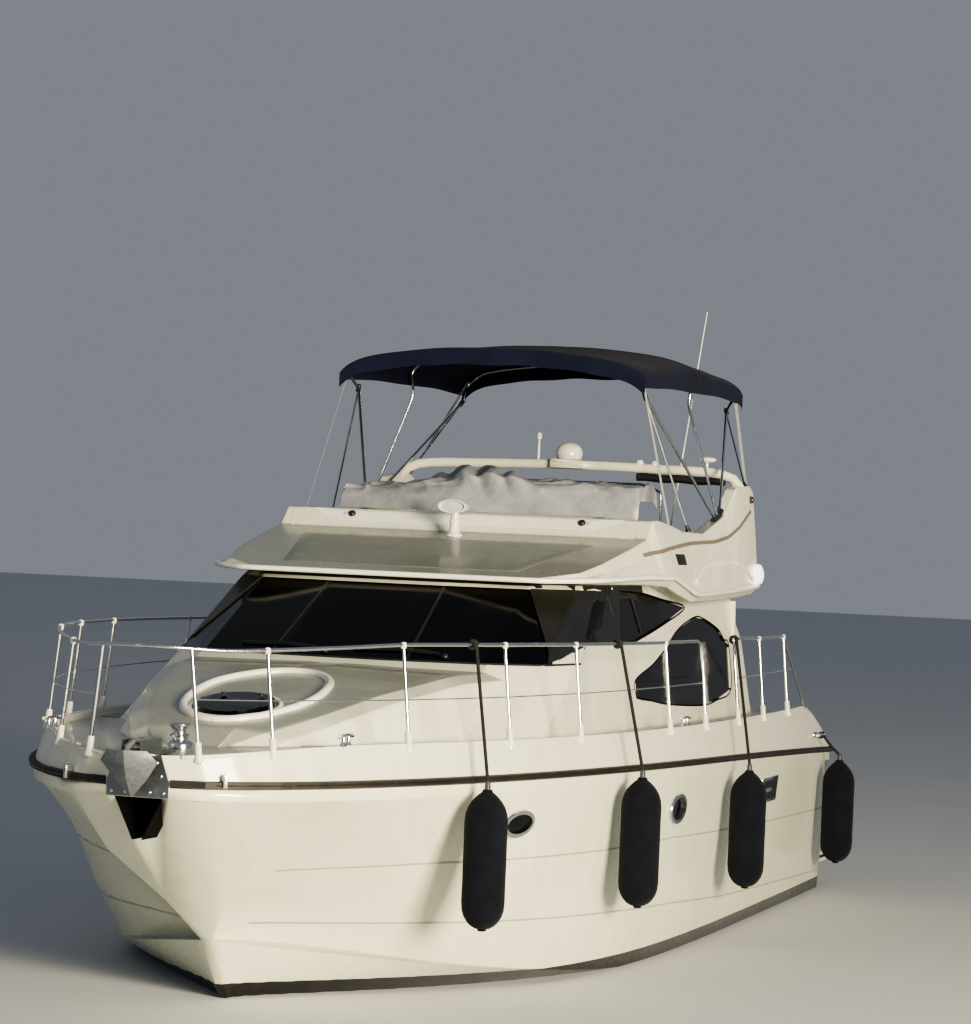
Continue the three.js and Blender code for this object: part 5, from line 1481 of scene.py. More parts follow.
pieces, knuckles = [], []
for x, pivot_x, lift in bow_rows:
    half = [Vector((x, 0, crown_z(0, lift) - BOW_DROP))]
    half += [
        Vector((x, BIMINI_HALF * share, crown_z(share, lift) - BOW_DROP)) for share in (0.25, 0.5, 0.7, 0.85)
    ]
    half.append(Vector((x, BIMINI_HALF - 0.045, crown_z(0.95, lift) - 0.08)))
    half.append(Vector((mix(pivot_x, x, LEG_SHARE), LEG_Y, LEG_Z)))
    half.append(Vector((pivot_x, PIVOT_Y, table(coaming_heights, pivot_x) + 0.02)))
    line = [Vector((p.x, -p.y, p.z)) for p in reversed(half[1:])] + half
    pieces.append(bar("bow", rounded(line, 0.05, 0.4), 0.0122, 12))
brace_rows = [(-1.0, -2.35, -1.5), (-4.05, -2.51, -3.38)]
for side, _ in SIDES:
    for x, pivot_x, foot_x in brace_rows:
        top = Vector((mix(pivot_x, x, LEG_SHARE), side * LEG_Y, LEG_Z))
        foot = Vector((foot_x, side * PIVOT_Y, table(coaming_heights, foot_x) + 0.012))
        pieces.append(bar("brace", [top, foot], 0.0098, 10))
        rise = (top - foot).normalized()
        slide_rows = [(0.016, -0.03), (0.019, -0.022), (0.019, 0.022), (0.016, 0.03)]
        knuckles.append(turned("slide", slide_rows, top, rise, 14))
        foot_rows = [(0.024, -0.006), (0.02, 0.012), (0.014, 0.022), (0.012, 0.05)]
        knuckles.append(turned("foot", foot_rows, foot, rise, 14))
    plate_line = [
        Vector((x, side * PIVOT_Y, table(coaming_heights, x) + 0.006)) for x in (-2.3, -2.4, -2.5, -2.56)
    ]
    knuckles.append(bar("pivot_plate", plate_line, 0.0235, 14))
bimini_frame = joined("bimini_bows", pieces)
dress(bimini_frame, polished_steel, "polished_steel", node="bimini_frame")
dress(joined("bimini_knuckles", knuckles), moulded_black, "black_plastic")

# Bimini canopy: one sheet of solution-dyed acrylic canvas, navy, stretched over the bows, with a valance at
# each end and a short skirt down each side. Two long seams and a sleeve over each bow are sewn in.
canvas, tree, shader = new_finish("acrylic_canvas_navy", "#10152A", 0.88)
flat_map = add_node(tree, "ShaderNodeUVMap").outputs["UV"]
place = add_node(tree, "ShaderNodeTexCoord").outputs["Object"]
cloth_map = add_node(tree, "ShaderNodeMapping", {"Scale": (3.5, 2.7, 1.0)}, {"Vector": flat_map}).outputs[0]
warp, weft = [
    add_node(tree, "ShaderNodeTexWave", {"Scale": 260.0, "bands_direction": direction}, {"Vector": cloth_map})
    for direction in "XY"
]
weave = add_node(
    tree, "ShaderNodeMath", {"operation": "MULTIPLY"}, {0: warp.outputs["Fac"], 1: weft.outputs["Fac"]}
)
mottle = add_node(
    tree, "ShaderNodeTexNoise", {"Scale": 2.2, "Detail": 8.0, "Roughness": 0.65}, {"Vector": place}
)
work_in(
    tree, shader, mottle.outputs["Fac"], ("#0C1124", "#161C33"), (0.3, 0.75), weave.outputs[0], (0.35, 0.0006)
)
for socket, value in (("Sheen Weight", 0.02), ("Sheen Roughness", 0.5), ("Specular IOR Level", 0.15)):
    shader.inputs[socket].default_value = value
FORE_HEM_X = -0.905
AFT_HEM_X = -4.145
VALANCE = 0.128
SKIRT = 0.07
END_SHARE = 0.04
SIDE_SHARE = 0.055
lift_rows = [(-0.9, -0.012), (-1.0, 0.0), (-2.55, 0.11), (-3.3, 0.092), (-4.05, 0.055), (-4.15, 0.04)]


def canopy_point(share, across, lift_off=0.0):
    """A point on the canopy: share runs from the fore hem to the aft one, across from side to side."""
    ends = max(0.0, (END_SHARE - share) / END_SHARE, (share - 1 + END_SHARE) / END_SHARE)
    run = limited((share - END_SHARE) / (1 - 2 * END_SHARE))
    x = mix(FORE_HEM_X, AFT_HEM_X, run)
    side = 2 * across - 1
    flat_share = min(1.0, abs(side) / (1 - SIDE_SHARE))
    skirt = max(0.0, (abs(side) - 1 + SIDE_SHARE) / SIDE_SHARE)
    lift = table(lift_rows, x)
    sag = 0.0
    for start, end, depth in ((-1.0, -2.55, 0.016), (-2.55, -4.05, 0.02)):
        if end < x < start:
            sag = depth * math.sin(math.pi * (x - start) / (end - start)) ** 2 * (1 - flat_share**3)
    pucker = 0.0025 * math.sin(x * 9.1 + 3 * flat_share) * math.sin(flat_share * 11 + x * 2.3)
    scallop = 0.012 * math.sin(math.pi * 2 * limited((x + 4.05) / 3.05)) ** 2
    edge_lift = mix(lift, lift * 0.3, skirt)
    z = crown_z(flat_share, edge_lift) - sag - pucker * (1 - skirt)
    drop = max(skirt * (SKIRT - scallop), ends * (VALANCE - 0.008 * math.sin(side * 3 * math.pi) ** 2))
    y = math.copysign((BIMINI_HALF - 0.002) * flat_share, side)
    tuck = 0.006 * skirt + 0.004 * ends
    return Vector((x, y - math.copysign(tuck, side) * (skirt > 0), z - drop + lift_off))


canopy = skinned("bimini_canvas", 110, 84, canopy_point, (0, 0, 1))
canopy_wide = run_length([canopy_point(0.5, step / 120) for step in range(121)])
canopy_long = run_length([canopy_point(step / 120, 0.5) for step in range(121)])
apply_modifier(canopy, "SOLIDIFY", thickness=0.0016, offset=-1.0)
smooth(canopy, 50)
dress(canopy, canvas, "navy_canvas", node="bimini_canopy")


def canopy_band(name, middle, width, along):
    """A doubled band sewn on the canopy: along the boat at a share across, or across it at a share along."""

    def place(share, over):
        if along:
            return canopy_point(mix(0.004, 0.996, share), middle + width * (over - 0.5), 0.0012)
        return canopy_point(middle + width * (over - 0.5), mix(0.003, 0.997, share), 0.0012)

    band = skinned(name, 90, 2, place, (0, 0, 1))
    apply_modifier(band, "SOLIDIFY", thickness=0.0014, offset=1.0)
    smooth(band, 50)
    return band


bands = [canopy_band(f"seam_{row}", y, 0.011, True) for row, y in enumerate((0.3, 0.7))]
for row, x in enumerate((-1.0, -2.55, -4.05)):
    run = (x - FORE_HEM_X) / (AFT_HEM_X - FORE_HEM_X)
    share = END_SHARE + run * (1 - 2 * END_SHARE)
    bands.append(canopy_band(f"sleeve_{row}", share, 0.026, False))
sewn = joined("bimini_seams_and_sleeves", bands)
dress(sewn, canvas, "navy_canvas")

# Canopy straps: grey polyester webbing, 25 mm wide, from the fore corners down to the coamings and aft to the
# arch.
webbing, *_ = patterned_finish(
    "polyester_webbing_grey", "#8E908E", 0.8, {"Scale": 12.0, "Detail": 4.0}, ("#7A7C7A", "#A3A5A2"),
    grit=("ShaderNodeTexWave", {"Scale": 120.0, "bands_direction": "DIAGONAL"}), relief=(0.4, 0.0006),
)
STRAP_WIDTH = 0.025


def strap(name, start, end):
    """A flat strap pulled straight between two points."""
    start, end = Vector(start), Vector(end)
    ahead = (end - start).normalized()
    over = ahead.cross(Vector((0, 0, 1))).normalized() * STRAP_WIDTH / 2

    def place(share, across):
        return start.lerp(end, share) + over * (2 * across - 1)

    item = skinned(name, 24, 1, place, over.cross(ahead))
    apply_modifier(item, "SOLIDIFY", thickness=0.0018, offset=0.0)
    return item


straps = []
for side, _ in SIDES:
    straps.append(strap("fore", (-1.0, side * 1.2, 4.33), (-0.9, side * 1.49, 3.17)))
    straps.append(strap("aft", (-4.05, side * 1.2, 4.36), (-3.42, side * 1.49, 3.5)))
dress(joined("bimini_straps", straps), webbing, "navy_canvas")

# Helm cover: a grey-white polyester tarpaulin thrown over the helm and laced down. It is crumpled, with a
# thick twisted fold across the middle where the slack was rolled up.
tarpaulin, *_ = patterned_finish(
    "polyester_tarpaulin", "#9B9A8F", 0.6, {"Scale": 3.2, "Detail": 8.0, "Roughness": 0.7},
    ("#696C71", "#95989C"), (0.3, 0.62), ("ShaderNodeTexVoronoi", {"Scale": 420.0}), (0.2, 0.0006),
)
COVER_HALF = 1.2
COVER_MIDDLE = 0.09
COVER_SIDE_SHARE = 0.04
cover_profile = [
    (-0.6, 3.206), (-0.606, 3.24), (-0.622, 3.29), (-0.645, 3.34), (-0.68, 3.39), (-0.73, 3.425),
    (-0.82, 3.44), (-0.95, 3.446), (-1.08, 3.445), (-1.18, 3.44), (-1.24, 3.425), (-1.26, 3.4),
    (-1.263, 3.385),
]


def cover_point(share, across):
    """A point on the tarpaulin: share runs from its fore hem over the helm to its aft hem."""
    line = along_route(cover_profile, share)
    side = 2 * across - 1
    hang = max(0.0, (abs(side) - 1 + COVER_SIDE_SHARE) / COVER_SIDE_SHARE)
    y = math.copysign(min(abs(side) / (1 - COVER_SIDE_SHARE), 1.0) * COVER_HALF, side)
    body = math.sin(math.pi * limited(share)) ** 0.8
    lie = y + 0.11 + 0.9 * (share - 0.5)
    roll = math.exp(-((lie / 0.27) ** 4))
    twist = (0.5 + 0.5 * math.sin(30 * lie - 15 * share + 0.8)) ** 0.6
    swag = limited((y - 0.2) / 0.3) * (0.5 + 0.5 * math.sin(21 * share + 2.4 * y)) ** 0.7
    droop = 0.085 * limited((-y - 0.25) / 0.7) + 0.012 * limited((y - 0.5) / 0.6)
    long_folds = 1 - abs(noise.noise(Vector((share * 5.5 + 0.25 * y, y * 1.3, 3.1)))) * 3.6
    cross_folds = 1 - abs(noise.noise(Vector((share * 2.0 - y * 1.1, y * 4.1 + share * 2.2, 8.4)))) * 4.2
    rumple = noise.noise(Vector((share * 9, y * 7.5, 1.7))) * 0.016
    rumple += noise.noise(Vector((share * 22, y * 19, 5.2))) * 0.006
    quiet = limited((share - 0.12) / 0.22)
    out = 0.022 * swag + roll * (0.062 + 0.062 * twist) + rumple
    out += 0.03 * max(0.0, long_folds) + 0.026 * max(0.0, cross_folds) * (1 - roll)
    out = min(out * body * quiet, 0.135) - droop * body
    away = Vector((0.75, 0, 0.66)) if share < 0.45 else Vector((0.0, 0, 1))
    if share > 0.88:
        away = Vector((-0.4, 0, 0.9))
    point = Vector((line.x, y + COVER_MIDDLE, line.y)) + away * out * (1 - hang)
    point.z -= hang * 0.1
    point.y += 0.012 * hang * math.sin(26 * share) * math.copysign(1, side)
    return point


cover = skinned("helm_tarpaulin", 60, 190, cover_point, (0, 0, 1))
apply_modifier(cover, "SOLIDIFY", thickness=0.0015, offset=-1.0)
smooth(cover, 60)
dress(cover, tarpaulin, "tarp", node="helm_cover")
cover_wide = run_length([cover_point(0.5, step / 300) for step in range(301)])
cover_long = run_length([cover_point(step / 200, 0.25) for step in range(201)])

# Searchlight: a white enamelled lamp with an oval head, on a turned post on the brow. The head pans on its
# stem.
enamel, *_ = patterned_finish(
    "enamel_white", "#E9E9E2", 0.25, {"Scale": 22.0, "Detail": 6.0, "Roughness": 0.7}, ("#EDEDE7", "#D5D4C8"),
    relief=(0.06, 0.0003), gloss={"Coat Weight": 0.4},
)
LAMP_X = -0.16
LAMP_Z = 3.24
LAMP_WIDE = 1.5
LAMP_HIGH = 0.68
post_foot, _ = above(bridge_skin, LAMP_X, 0, 3.3)
post_rows = [
    (0.062, -0.006), (0.062, 0.008), (0.056, 0.014), (0.046, 0.02), (0.04, 0.035),
    (0.037, 3.115 - post_foot.z), (0.041, 3.12 - post_foot.z), (0.041, 3.1285 - post_foot.z),
]
lamp_post = turned("searchlight_column", post_rows, post_foot, sides=32)
dress(lamp_post, enamel, "polished_steel", node="searchlight_post")
stem = turned(
    "lamp_stem", [(0.04, 3.1305), (0.04, 3.14), (0.03, 3.15), (0.028, 3.19)], (LAMP_X, 0, 0), sides=24
)
head_rows = [
    (0.03, -0.085), (0.052, -0.078), (0.064, -0.055), (0.069, 0.02), (0.071, 0.06), (0.075, 0.085),
    (0.067, 0.086), (0.062, 0.06), (0.03, 0.035),
]


def lamp_piece(name, rows, sides):
    """A piece of the lamp's head, turned about its beam and pressed to an oval."""
    item = turned(name, rows, (LAMP_X, 0, LAMP_Z), (1, 0, 0), sides)
    for vertex in item.data.vertices:
        vertex.co.y *= LAMP_WIDE
        vertex.co.z = LAMP_Z + (vertex.co.z - LAMP_Z) * LAMP_HIGH
    return item


head = lamp_piece("lamp_head", head_rows, 36)
lamp = joined("searchlight_head", [head, stem])
smooth(lamp, 45)
dress(lamp, enamel, "polished_steel", "searchlight_body", node="searchlight")
lens = lamp_piece("searchlight_lens", [(0.06, 0.06), (0.058, 0.066), (0.04, 0.072), (0.01, 0.074)], 32)
clear_glass = glass_finish("glass_lens", "#C9CFD2", 0.2, 0.12)
dress(lens, clear_glass, "dark_glass", "searchlight_body")

# Arch: a moulded bar across the wings that carries the instruments. On it stand a dome, a low mushroom
# aerial, two small domes and a signal lamp. A black weather cloth is rolled up under its port half, and the
# red and green side lamps sit on the wings.
moulding("arch", "arch_moulding", house_gelcoat, "gelcoat", degrees=40)
ARCH_X = -3.2
dome_rows = [
    (0.09, 0.0), (0.104, 0.006), (0.108, 0.03), (0.112, 0.034), (0.114, 0.06), (0.104, 0.095), (0.08, 0.122)
]
dome_rows += [(0.045, 0.138), (0.012, 0.144)]
dome_low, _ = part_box("arch_dome")
dome = turned("arch_radome", dome_rows, (ARCH_X, 0, dome_low.z), sides=40)
dress(dome, enamel, "gelcoat", node="arch_dome")
mushroom_rows = [
    (0.012, 0), (0.012, 0.075), (0.06, 0.08), (0.078, 0.094), (0.074, 0.112), (0.045, 0.124), (0.01, 0.128),
]
small_dome_rows = [(0.026, 0), (0.034, 0.012), (0.034, 0.035), (0.022, 0.052), (0.006, 0.056)]
signal_rows = [(0.011, 0), (0.009, 0.19), (0.022, 0.2), (0.024, 0.235), (0.016, 0.25), (0.005, 0.254)]
aerial_rows = [
    (1.2, 3.63, mushroom_rows), (0.62, 3.655, small_dome_rows), (0.75, 3.65, small_dome_rows),
    (-0.27, 3.66, signal_rows),
]
aerials = [turned("aerial", rows, (ARCH_X, y, foot), sides=24) for y, foot, rows in aerial_rows]
dress(joined("arch_aerials", aerials), enamel, "gelcoat")
roll_ys = [0.6 + 0.04 * step for step in range(20)]
roll_line = [Vector((ARCH_X, y, 3.565 - 0.02 * (y - 0.6) + 0.004 * math.sin(y * 21))) for y in roll_ys]
cloth_roll = bar("weather_cloth_roll", roll_line, 0.034, 14)
dress(cloth_roll, moulded_black, "black_plastic")
for side, label, glass_hex in ((1, "port", "#5A0F0C"), (-1, "starboard", "#0C4A22")):
    point, normal = beside(bridge_skin, -3.3, 3.41, side)
    turn = on_side(normal)
    housing = block(
        f"side_lamp_housing_{label}", (0.07, 0.06, 0.02), point + normal * 0.008, turn, edge=0.006
    )
    dress(housing, moulded_black, "black_plastic")
    lamp_glass = glass_finish(f"glass_side_lamp_{label}", glass_hex, 0.3, 0.08)
    lamp_lens = block(
        f"side_lamp_lens_{label}", (0.045, 0.04, 0.012), point + normal * 0.02, turn, edge=0.005
    )
    dress(lamp_lens, lamp_glass, "dark_glass")

# Whip aerial: a white glass-fibre rod that tapers to its tip, screwed into a ratchet base on the after
# coaming.
whip_foot, whip_tip = Vector((-4.33, 0.601, 2.872)), Vector((-4.35, 0.86, 5.04))
lower_rows = [(0.024, 0.0), (0.024, 0.012), (0.0175, 0.02), (0.0175, 0.22), (0.013, 0.235), (0.009, 0.25)]
ratchet = turned("whip_aerial_base", lower_rows, whip_foot, (0, 0.04, 1), 16)
dress(ratchet, moulded_black, "black_plastic")
whip_start = Vector((-4.33, 0.609, 3.1))
reach = (whip_tip - whip_start).length
rod_rows = [
    (0.0088, 0.0), (0.0085, reach * 0.3), (0.0095, reach * 0.302), (0.0095, reach * 0.33),
    (0.0065, reach * 0.34), (0.0042, reach - 0.02), (0.0055, reach - 0.012), (0.003, reach),
]
whip = turned("whip_aerial_rod", rod_rows, whip_start, whip_tip - whip_start, 12)
dress(whip, enamel, "gelcoat", node="whip_antenna")

# Flying bridge rail: polished tube round the after end, on stanchions with round foot flanges. Its port end
# turns down beside the stairs.
fly_rail_knots = [
    (-3.64, -1.47, 3.43), (-4.08, -1.32, 3.52), (-4.29, -1.05, 3.52), (-4.3, -0.6, 3.52), (-4.3, 0.35, 3.52),
    (-4.3, 0.52, 3.46), (-4.3, 0.545, 2.88),
]
parts = [bar("tube", rounded(fly_rail_knots, 0.03, 0.3), RAIL_RADIUS, 14)]
flanges = []
post_tops = [
    (-3.65, -1.467, 3.43), (-4.08, -1.32, 3.52), (-4.3, -0.6, 3.52), (-4.3, -0.05, 3.52), (-4.3, 0.545, 2.95),
]
flange_rows = [(0.032, -0.002), (0.032, 0.006), (0.018, 0.016), (0.0125, 0.03)]
for x, y, top in post_tops:
    foot = 2.884
    if x == -3.65:
        hit, _ = above(bridge_skin, x, y, 3.4)
        foot = hit.z if hit else foot
    parts.append(bar("stanchion", [(x, y, foot), (x, y, top)], RAIL_RADIUS, 12))
    flanges.append(turned("flange", flange_rows, (x, y, foot), sides=18))
parts += flanges
fly_rail = joined("fly_rail_tubes", parts)
dress(fly_rail, polished_steel, "polished_steel", node="fly_rail")

# Helm on the flying bridge: a moulded console, which the cover hides from ahead, and a black wheel that turns
# on its after face.
moulding("fly_console", "fly_console_moulding", house_gelcoat, "gelcoat", degrees=30)
moulding("fly_wheel", "fly_wheel_rim", moulded_black, "black_plastic", "fly_wheel_body", 50)

# Seats: closed-cell foam cushions in white upholstery vinyl with a piped edge, on moulded lockers. The foam
# swells between the seams, and a sewn channel crosses each long cushion.
vinyl, *_ = patterned_finish(
    "vinyl_upholstery", "#D5D1C2", 0.48, {"Scale": 4.0, "Detail": 6.0, "Roughness": 0.65},
    ("#C2BDAC", "#DAD6C9"), (0.3, 0.7), ("ShaderNodeTexVoronoi", {"Scale": 520.0, "Randomness": 0.9}),
    (0.3, 0.0005),
    gloss={"Sheen Weight": 0.08},
)
FOAM_VOXEL = 0.009
FOAM_SWELL = 0.018
CHANNEL_WIDTH = 0.016
CHANNEL_DEPTH = 0.02


def cushion(name, low, high, channels, along, seat_axis=2):
    """A swollen foam cushion between two corners, with sewn channels at distances along one axis."""
    low, high = Vector(low), Vector(high)
    centre, size = (low + high) / 2, high - low
    thin = min(size)
    inner = size - Vector((0.012, 0.012, 0.012))
    inner[seat_axis] = size[seat_axis] - 0.026
    item = block(name, inner, centre, edge=thin * 0.26, segments=4)
    apply_modifier(item, "REMESH", mode="VOXEL", voxel_size=FOAM_VOXEL)
    start = [vertex.co.copy() for vertex in item.data.vertices]
    only(item)
    cloth = item.modifiers.new("foam", "CLOTH")
    cloth.settings.use_pressure = True
    cloth.settings.uniform_pressure_force = 4.0
    cloth.settings.effector_weights.gravity = 0.0
    for frame_number in range(1, 21):
        scene.frame_set(frame_number)
    bpy.ops.object.modifier_apply(modifier=cloth.name)
    scene.frame_set(1)
    for vertex, first in zip(item.data.vertices, start):
        move = vertex.co - first
        if move.length > FOAM_SWELL:
            vertex.co = first + move.normalized() * FOAM_SWELL
        rim = 1.0
        for axis in range(3):
            if axis != seat_axis:
                rim *= max(0.0, 1 - (abs(first[axis] - centre[axis]) / (size[axis] / 2)) ** 4)
        side = 1 if first[seat_axis] > centre[seat_axis] else -1
        if side > 0:
            vertex.co[seat_axis] += 0.007 * rim
        for spot in channels:
            gap = abs(first[along] - spot)
            vertex.co[seat_axis] -= side * CHANNEL_DEPTH * math.exp(
                -((gap / CHANNEL_WIDTH) ** 2)
            ) * 0.7 * (side > 0)
        for axis in range(3):
            vertex.co[axis] = min(max(vertex.co[axis], low[axis] + 0.001), high[axis] - 0.001)
    apply_modifier(item, "SMOOTH", factor=0.5, iterations=4)
    smooth(item, 60)
    skin = skin_of(item)
    others = [axis for axis in range(3) if axis != seat_axis]
    line = []
    for angle in round_angles(96):
        ray = Vector((0, 0, 0))
        ray[others[0]], ray[others[1]] = math.cos(angle) * size[others[0]], math.sin(angle) * size[others[1]]
        ray.normalize()
        level = centre.copy()
        level[seat_axis] = high[seat_axis] - thin * 0.3
        point, normal, _, _ = skin.ray_cast(level + ray * 3, -ray)
        line.append((point or level) + ray * 0.001)
    piping = bar(f"{name}_piping", line, 0.0036, 8, ends=False)
    dress(piping, vinyl, "vinyl")
    dress(item, vinyl, "vinyl")
    return item


def locker(name, parts, node):
    """Moulded seat lockers, standing for a fixed node."""
    corners = [(Vector(low), Vector(high)) for low, high in parts]
    item = joined(name, [block("box", high - low, (low + high) / 2, edge=0.012) for low, high in corners])
    return dress(item, house_gelcoat, "gelcoat", node=node)


helm_box = ((-1.9, -0.1, 2.883), (-1.45, 1.0, 3.066))
locker("helm_seat_locker", [helm_box, ((-1.955, -0.09, 2.883), (-1.9, 0.99, 3.16))], "fly_helm_seat")
cushion("helm_seat_cushion", (-1.885, -0.095, 3.069), (-1.452, 0.995, 3.178), [0.45], 1)
cushion("helm_seat_back", (-1.957, -0.095, 3.182), (-1.862, 0.995, 3.418), [0.45], 1, 0)
settee_parts = [((-3.25, -1.34, 2.883), (-2.05, -0.9, 3.048)), ((-3.25, -0.9, 2.883), (-2.9, 0.5, 3.048))]
locker("fly_settee_locker", settee_parts, "fly_settee")
cushion("fly_settee_side_cushion", (-2.895, -1.335, 3.051), (-2.055, -0.905, 3.158), [-2.47], 0)
cushion("fly_settee_aft_cushion", (-3.245, -1.335, 3.051), (-2.9, 0.495, 3.158), [-0.9, -0.2], 1)

# Cockpit: the sole and its lining are one moulding with diamond tread, with a lifting hatch over the engines
# that has two flush round pulls.
cockpit = moulding("cockpit_sole", "cockpit_moulding", deck_gelcoat, "gelcoat")
cockpit_skin = skin_of(cockpit)
SOLE_Z = 0.72
sole_panels = [
    ((-3.25, 1.3), (-3.55, 1.3), (-3.55, -1.3), (-3.25, -1.3)),
    ((-3.62, 1.3), (-4.65, 1.3), (-4.65, 0.6), (-3.62, 0.6)),
    ((-3.62, -0.6), (-4.65, -0.6), (-4.65, -1.3), (-3.62, -1.3)),
]
for row, corners in enumerate(sole_panels):
    panel = tread_panel(f"sole_tread_{row + 1}", cockpit_skin, corners, 0.0025, SOLE_Z + 0.1)
    dress(panel, tread, "gelcoat")
hatch_low, hatch_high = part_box("engine_hatch")
moulding("engine_hatch", "engine_hatch_panel", tread, "gelcoat", "engine_hatch_body")
pulls = []
for side, _ in SIDES:
    centre = Vector((hatch_high.x - 0.09 if side > 0 else hatch_low.x + 0.09, 0.0, hatch_high.z + 0.0005))
    pull_rows = [(0.036, -0.002), (0.036, 0.001), (0.03, 0.002), (0.022, 0.0)]
    pulls.append(turned("pull_plate", pull_rows, centre, sides=24))
dress(joined("engine_hatch_pulls", pulls), polished_steel, "polished_steel", "engine_hatch_body")

# Cockpit bench: a moulded locker across the transom with a seat cushion and a back cushion, both sewn in
# three squabs.
bench_low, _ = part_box("cockpit_bench")
bench_parts = [
    ((bench_low.x, -1.3, SOLE_Z + 0.002), (bench_low.x + 0.468, 0.6, 1.0)),
    ((bench_low.x, -1.3, 1.0), (bench_low.x + 0.04, 0.6, 1.42)),
]
locker("cockpit_bench_locker", bench_parts, "cockpit_bench")
bench_cushions = [
    ("cockpit_bench_cushion", 0.045, 1.003, 0.466, 1.128, 2),
    ("cockpit_bench_back", 0.012, 1.13, 0.1, 1.478, 0),
]
for name, aft, low_z, fore, high_z, seat_axis in bench_cushions:
    low, high = (bench_low.x + aft, -1.295, low_z), (bench_low.x + fore, 0.595, high_z)
    cushion(name, low, high, [-0.66, -0.03], 1, seat_axis)

# Transom gate: a moulded gate beside the bench on two pins, with a sprung catch at its free edge, which
# swings in over the cockpit's sole.
moulding("transom_gate", "transom_gate_moulding", house_gelcoat, "gelcoat", "transom_gate_body")
gate_low, gate_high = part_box("transom_gate")
catch = block("gate_catch", (0.008, 0.07, 0.05), (gate_high.x - 0.03, gate_low.y + 0.06, 1.3), edge=0.004)
dress(catch, polished_steel, "polished_steel", "transom_gate_body")

# Stairs: teak treads, oiled and weathered to a soft brown, on a pair of stainless stringers that lean from
# the cockpit up to the flying bridge.
teak, *_ = patterned_finish(
    "teak_oiled", "#7A5532", 0.55, {"Scale": 1.0, "Detail": 8.0, "Roughness": 0.6}, ("#54361D", "#8E6A43"),
    (0.3, 0.7), relief=(0.25, 0.0006), stretch=(3.0, 60.0, 60.0),
)
stair_rows = [(-4.16, 0.9), (-4.03, 1.18), (-3.9, 1.46), (-3.77, 1.74), (-3.64, 2.02), (-3.51, 2.3)]
stringers = [
    bar("stringer", [(-4.238, y, SOLE_Z + 0.004), (-3.358, y, 2.732)], 0.0198, 16) for y in (0.73, 1.15)
]
stairs = joined("stair_stringers", stringers)
dress(stairs, polished_steel, "polished_steel", node="fly_stairs")
treads = [
    block("stair_tread", (0.16, 0.44, 0.028), (x + 0.01, 0.94, z + 0.0155), edge=0.007) for x, z in stair_rows
]
dress(joined("stair_treads", treads), teak, "varnished_wood")

# Swimming platform: a moulding behind the transom, a step down from the cockpit, with a rubber fender strip
# round its edge and grip pads between drain gaps.
platform = moulding("swim_platform", "swim_platform_moulding", deck_gelcoat, "gelcoat")
platform_skin = skin_of(platform)
pads = []
for row in range(9):
    y = -1.52 + row * 0.38
    inset = 0.09 if abs(y) > 1.4 else 0.0
    aft = -6.22 + inset
    corners = [(-5.62, y - 0.175), (aft, y - 0.175), (aft, y + 0.175), (-5.62, y + 0.175)]
    pads.append(tread_panel(f"pad_{row}", platform_skin, corners, 0.003, 0.5, 10, 6))
dress(joined("swim_platform_grip_pads", pads), tread, "deck_grip")
edge_line = [(-5.6, 1.762, 0.255), (-6.145, 1.762, 0.255), (-6.309, 1.557, 0.255), (-6.309, -1.557, 0.255)]
edge_line += [(-6.145, -1.762, 0.255), (-5.6, -1.762, 0.255)]
edge_strip = bar("swim_platform_edge_strip", rounded(edge_line, 0.04, 0.3), 0.014, 12)
dress(edge_strip, strake_rubber, "strake_rubber")

# Boarding ladder: stainless tube with three flattened treads, on a pin at the platform's after edge. It
# folds down over the edge.
ladder_x, ladder_z = -6.343, 0.326
parts = [bar("pin", [(ladder_x, -1.318, ladder_z), (ladder_x, -0.882, ladder_z)], 0.013, 12)]
for y in (-1.3, -0.9):
    parts.append(bar("side", [(ladder_x, y, ladder_z), (ladder_x + 0.598, y, ladder_z)], 0.0128, 12))
rung_xs = [ladder_x + distance for distance in (0.12, 0.33, 0.54)]
parts += [bar("rung", [(x, -1.3, ladder_z), (x, -0.9, ladder_z)], 0.0118, 12) for x in rung_xs]
ladder = joined("boarding_ladder_tubes", parts)
dress(ladder, polished_steel, "polished_steel", "boarding_ladder_body", node="boarding_ladder")
rung_grips = [block("grip", (0.05, 0.3, 0.008), (x, -1.1, ladder_z + 0.0155), edge=0.003) for x in rung_xs]
dress(joined("boarding_ladder_grips", rung_grips), moulded_black, "black_plastic", "boarding_ladder_body")

